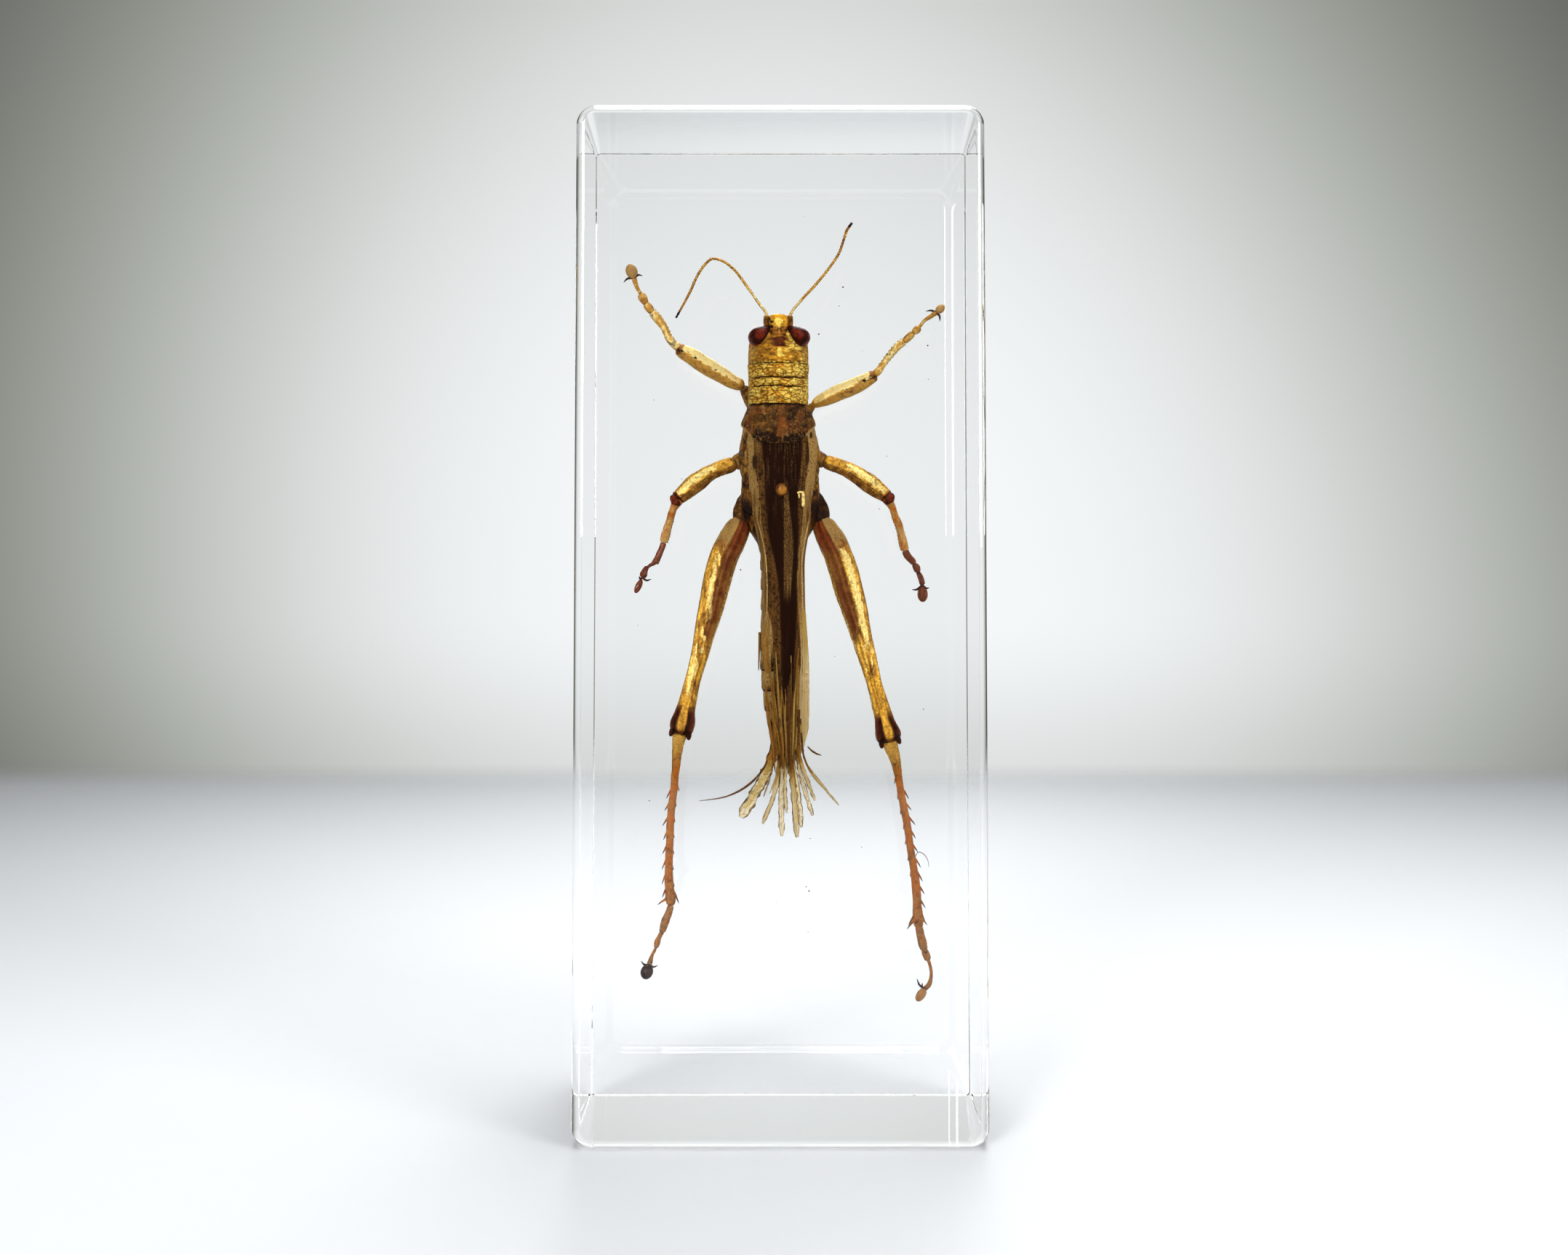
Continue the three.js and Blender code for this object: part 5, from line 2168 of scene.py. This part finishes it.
@dataclass
class Oddments:
    """Small things caught in the resin: a bead and gold slivers on the wings that stand in for a glint, a
    hair and dust.

    Attributes:
        bead: X, Z and radius of the bead.
        bead_depth: Y of its middle.
        specks: how many dust specks.
    """

    bead: tuple[float, float, float] = (0.12, 70.4, 0.7)
    bead_depth: float = -3.75
    specks: int = 34

    def build(self, finishes: Finishes) -> None:
        """Makes the bead, the gold slivers that stand in for a glint, the curled hair and the dust."""
        x, z, radius = self.bead
        axes = ((0, -radius * 0.7, 0), (radius, 0, 0), (0, 0, radius * 1.05))
        bead = ovoid((x, self.bead_depth, z), axes, 30, 40)
        # The bead is painted brighter a little right of and below its middle: a painted glow of light
        # through it.
        off_x, off_z = bead.points[..., 0] - x - 0.08, bead.points[..., 2] - z + 0.1
        painted_glow = smooth(1.0, 0.3, np.hypot(off_x, off_z) / radius)
        make_piece("amber_bead", [bead.coat(tip=painted_glow)], finishes.bead)
        # These bright gold slivers stand in for a glint on the wing: a painted highlight built as thin
        # flakes.
        flakes = [
            rod([(2.5, -3.05, 70.05, 0.16, 0.04), (2.53, -3.02, 69.4, 0.18, 0.05),
                 (2.5, -2.98, 68.55, 0.15, 0.04)], 20, 14, (0.08, 0.08)),
            rod([(1.85, -3.25, 70.05, 0.1, 0.04), (2.2, -3.18, 70.15, 0.12, 0.04),
                 (2.6, -3.05, 70.1, 0.12, 0.04)], 14, 14, (0.08, 0.08)),
            rod([(2.05, -3.2, 69.98, 0.1, 0.04), (2.06, -3.2, 69.5, 0.09, 0.04)], 8, 12, (0.08, 0.08)),
        ]
        for flake in flakes:
            flake.coat(gold=1.0, flake=1.3)
        make_piece("glint_flakes", flakes, finishes.leg)
        hair = rod([(15.0, 0.2, 29.3, 0.04, 0.04), (15.5, 0.0, 30.0, 0.04, 0.04),
                    (16.1, -0.1, 29.7, 0.04, 0.04), (16.5, -0.1, 29.0, 0.03, 0.03),
                    (16.6, 0.0, 28.3, 0.02, 0.02)], 30, 8, (0.04, 0.04), steps=2)
        make_piece("curled_hair", [hair.coat(tip=0.2)], finishes.claw)
        chance = np.random.default_rng(23)
        dust = []
        for _ in range(self.specks):
            place = chance.uniform((-17.5, -9.0, 9.0), (17.5, 9.0, 103.0))
            size = chance.uniform(0.03, 0.085)
            turn = chance.uniform(-1.0, 1.0, (3, 3)) * 0.5 + np.eye(3)
            dust.append(ovoid(place, size * turn, 4, 6).coat(tip=chance.uniform(0.3, 1.0)))
        make_piece("dust_specks", dust, finishes.claw)


def build_insect() -> None:
    """Makes the whole insect."""
    finishes = Finishes()
    Head().build(finishes)
    Pronotum().build(finishes)
    Trunk().build(finishes)
    Wings().build(finishes)
    for leg in (*front_legs(), *middle_legs(), *hind_legs()):
        leg.build(finishes)
    Oddments().build(finishes)


# ---------------------------------------------------------------- table, light and camera


@dataclass(frozen=True)
class Softbox:
    """A rectangular lamp.

    Attributes:
        name: the lamp's name.
        place: its middle, in mm.
        aim: the point that it faces, in mm.
        size: its width and height, in mm.
        watts: its power.
    """

    name: str
    place: tuple[float, float, float]
    aim: tuple[float, float, float]
    size: tuple[float, float]
    watts: float

    def build(self) -> None:
        """Makes the lamp."""
        data = bpy.data.lights.new(self.name, "AREA")
        data.shape = "RECTANGLE"
        data.size, data.size_y = (side * MM for side in self.size)
        data.energy = self.watts
        lamp = bpy.data.objects.new(self.name, data)
        lamp.location = Vector(self.place) * MM
        lamp.rotation_mode = "QUATERNION"
        lamp.rotation_quaternion = (Vector(self.aim) - Vector(self.place)).to_track_quat("-Z", "Y")
        bpy.context.scene.collection.objects.link(lamp)


@dataclass
class Studio:
    """The pale table, the soft light and the camera.

    Attributes:
        table_reach: from the block to the table's far edge.
        fade: how far the table's edge blends into the backdrop.
        gap: the air that keeps the polished base from touching the table optically.
        camera_distance: from the front face to the camera.
        camera_height: Z of the camera.
        camera_right: X of the camera.
        camera_pitch: degrees that it looks up.
        focal_pixels: focal length, in pixels of the frame.
        lowered_pixels: how far the frame sits below the lens axis.
        exposure: brightness of the whole view, in stops.
        gamma: below 1 it deepens the shadows.
        white: the table's colour.
        behind: strength of the backdrop's bright patch behind the block.
        beside: strength of its bright bands at the sides.
        elsewhere: its least strength.
        lamps: a long softbox overhead, and two smaller ones towards the insect's back.
    """

    table_reach: float = 330.0
    fade: float = 40.0
    gap: float = 0.04
    camera_distance: float = 155.0
    camera_height: float = 57.6
    camera_right: float = 0.39
    camera_pitch: float = 0.5
    focal_pixels: float = 2012.0
    lowered_pixels: float = 48.0
    exposure: float = 0.35
    gamma: float = 0.85
    white: Colour = rgb(0.54, 0.553, 0.575)
    behind: float = 0.73
    beside: float = 0.42
    elsewhere: float = 0.03
    lamps: tuple[Softbox, ...] = (
        Softbox("overhead", (25.0, 60.0, 340.0), (25.0, 0.0, 50.0), (180.0, 500.0), 1.75),
        Softbox("front_left", (-400.0, -700.0, 260.0), (0.0, 0.0, 50.0), (320.0, 320.0), 5.9),
        Softbox("front_right", (560.0, -430.0, 230.0), (0.0, 0.0, 50.0), (280.0, 280.0), 2.95),
    )

    def table(self) -> bpy.types.Object:
        """A flat white table whose edge fades out."""
        reach = (self.table_reach + self.fade) * MM
        mesh = bpy.data.meshes.new("table")
        low = -self.gap * MM
        corners = [(-reach, -reach, low), (reach, -reach, low), (reach, reach, low), (-reach, reach, low)]
        mesh.from_pydata(corners, [], [(0, 1, 2, 3)])
        graph = Graph(bpy.data.materials.new("table_white"))
        where = graph.node("ShaderNodeTexCoord", output="Object")
        split = graph.node("ShaderNodeSeparateXYZ", None, {0: where})
        x = split.maths("ABSOLUTE")
        y = Signal(graph, split.socket.node.outputs[1]).maths("ABSOLUTE")
        outer = x.top(y)
        solid = 1.0 - outer.rise((self.table_reach - self.fade) * MM, reach)
        mesh.materials.append(graph.principled(Base_Color=self.white, Roughness=0.6, Alpha=solid))
        table = bpy.data.objects.new("table", mesh)
        bpy.context.scene.collection.objects.link(table)
        return table

    def backdrop(self) -> None:
        """A pale world, brightest behind the block and at its sides, and dim elsewhere."""
        world = bpy.data.worlds.new("soft_backdrop")
        bpy.context.scene.world = world
        graph = Graph(world)
        where = graph.node("ShaderNodeTexCoord", output="Generated")
        split = graph.node("ShaderNodeSeparateXYZ", None, {0: where})
        node = split.socket.node
        x, y, z = (Signal(graph, node.outputs[axis]) for axis in range(3))
        flat = (x * x + y * y).maths("SQRT").top(0.001)
        off_front = x.maths("DIVIDE", flat) + z * 0.08 - 0.02
        off_side = y.maths("ABSOLUTE").maths("DIVIDE", flat)
        facing = y.maths("DIVIDE", flat)
        front = ((off_front * off_front * 4.31 + z * z * 3.2) ** 1.7 * -1.0).maths("EXPONENT")
        behind = facing.rise(-0.2, 0.2)
        sides = ((off_side * 2.0) ** 3.0 * -1.0).maths("EXPONENT")
        height = (z * z * -1.6).maths("EXPONENT") * sides * self.beside
        dusk = 0.8 + z.rise(-0.14, 0.0) * 0.2 + (z * -1.0).rise(0.13, 0.2) * 0.3
        strength = front * behind * self.behind * dusk + height + self.elsewhere
        tint = graph.mix(strength.rise(0.1, 0.8), rgb(0.95, 1.0, 0.9), rgb(0.97, 0.99, 1.0))
        shade = graph.node("ShaderNodeBackground", None, {"Color": tint, "Strength": strength})
        graph.node("ShaderNodeOutputWorld", None, {"Surface": shade})

    def camera(self) -> None:
        """The camera in front of the block, a little above its middle."""
        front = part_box("resin_block")[0].y / MM
        data = bpy.data.cameras.new("camera")
        data.sensor_width = 36.0
        data.lens = data.sensor_width * self.focal_pixels / IMAGE_WIDTH
        data.shift_y = -self.lowered_pixels / IMAGE_WIDTH
        data.clip_start = 0.005
        data.clip_end = 20.0
        camera = bpy.data.objects.new("camera", data)
        place = (self.camera_right, front - self.camera_distance, self.camera_height)
        camera.location = Vector(place) * MM
        camera.rotation_euler = (math.radians(90.0 + self.camera_pitch), 0.0, 0.0)
        bpy.context.scene.collection.objects.link(camera)
        bpy.context.scene.camera = camera

    def build(self) -> None:
        """Makes the table, the light and the camera."""
        self.table()
        self.backdrop()
        for lamp in self.lamps:
            lamp.build()
        self.camera()
        settings = bpy.context.scene.view_settings
        settings.view_transform = "Standard"
        settings.exposure = self.exposure
        settings.gamma = self.gamma


def main() -> None:
    """Builds the scene, piece by piece."""
    logging.basicConfig(level=logging.INFO, format="%(message)s")
    Studio().build()
    Block().build(Resin().material())
    build_insect()


if __name__ == "__main__":
    main()
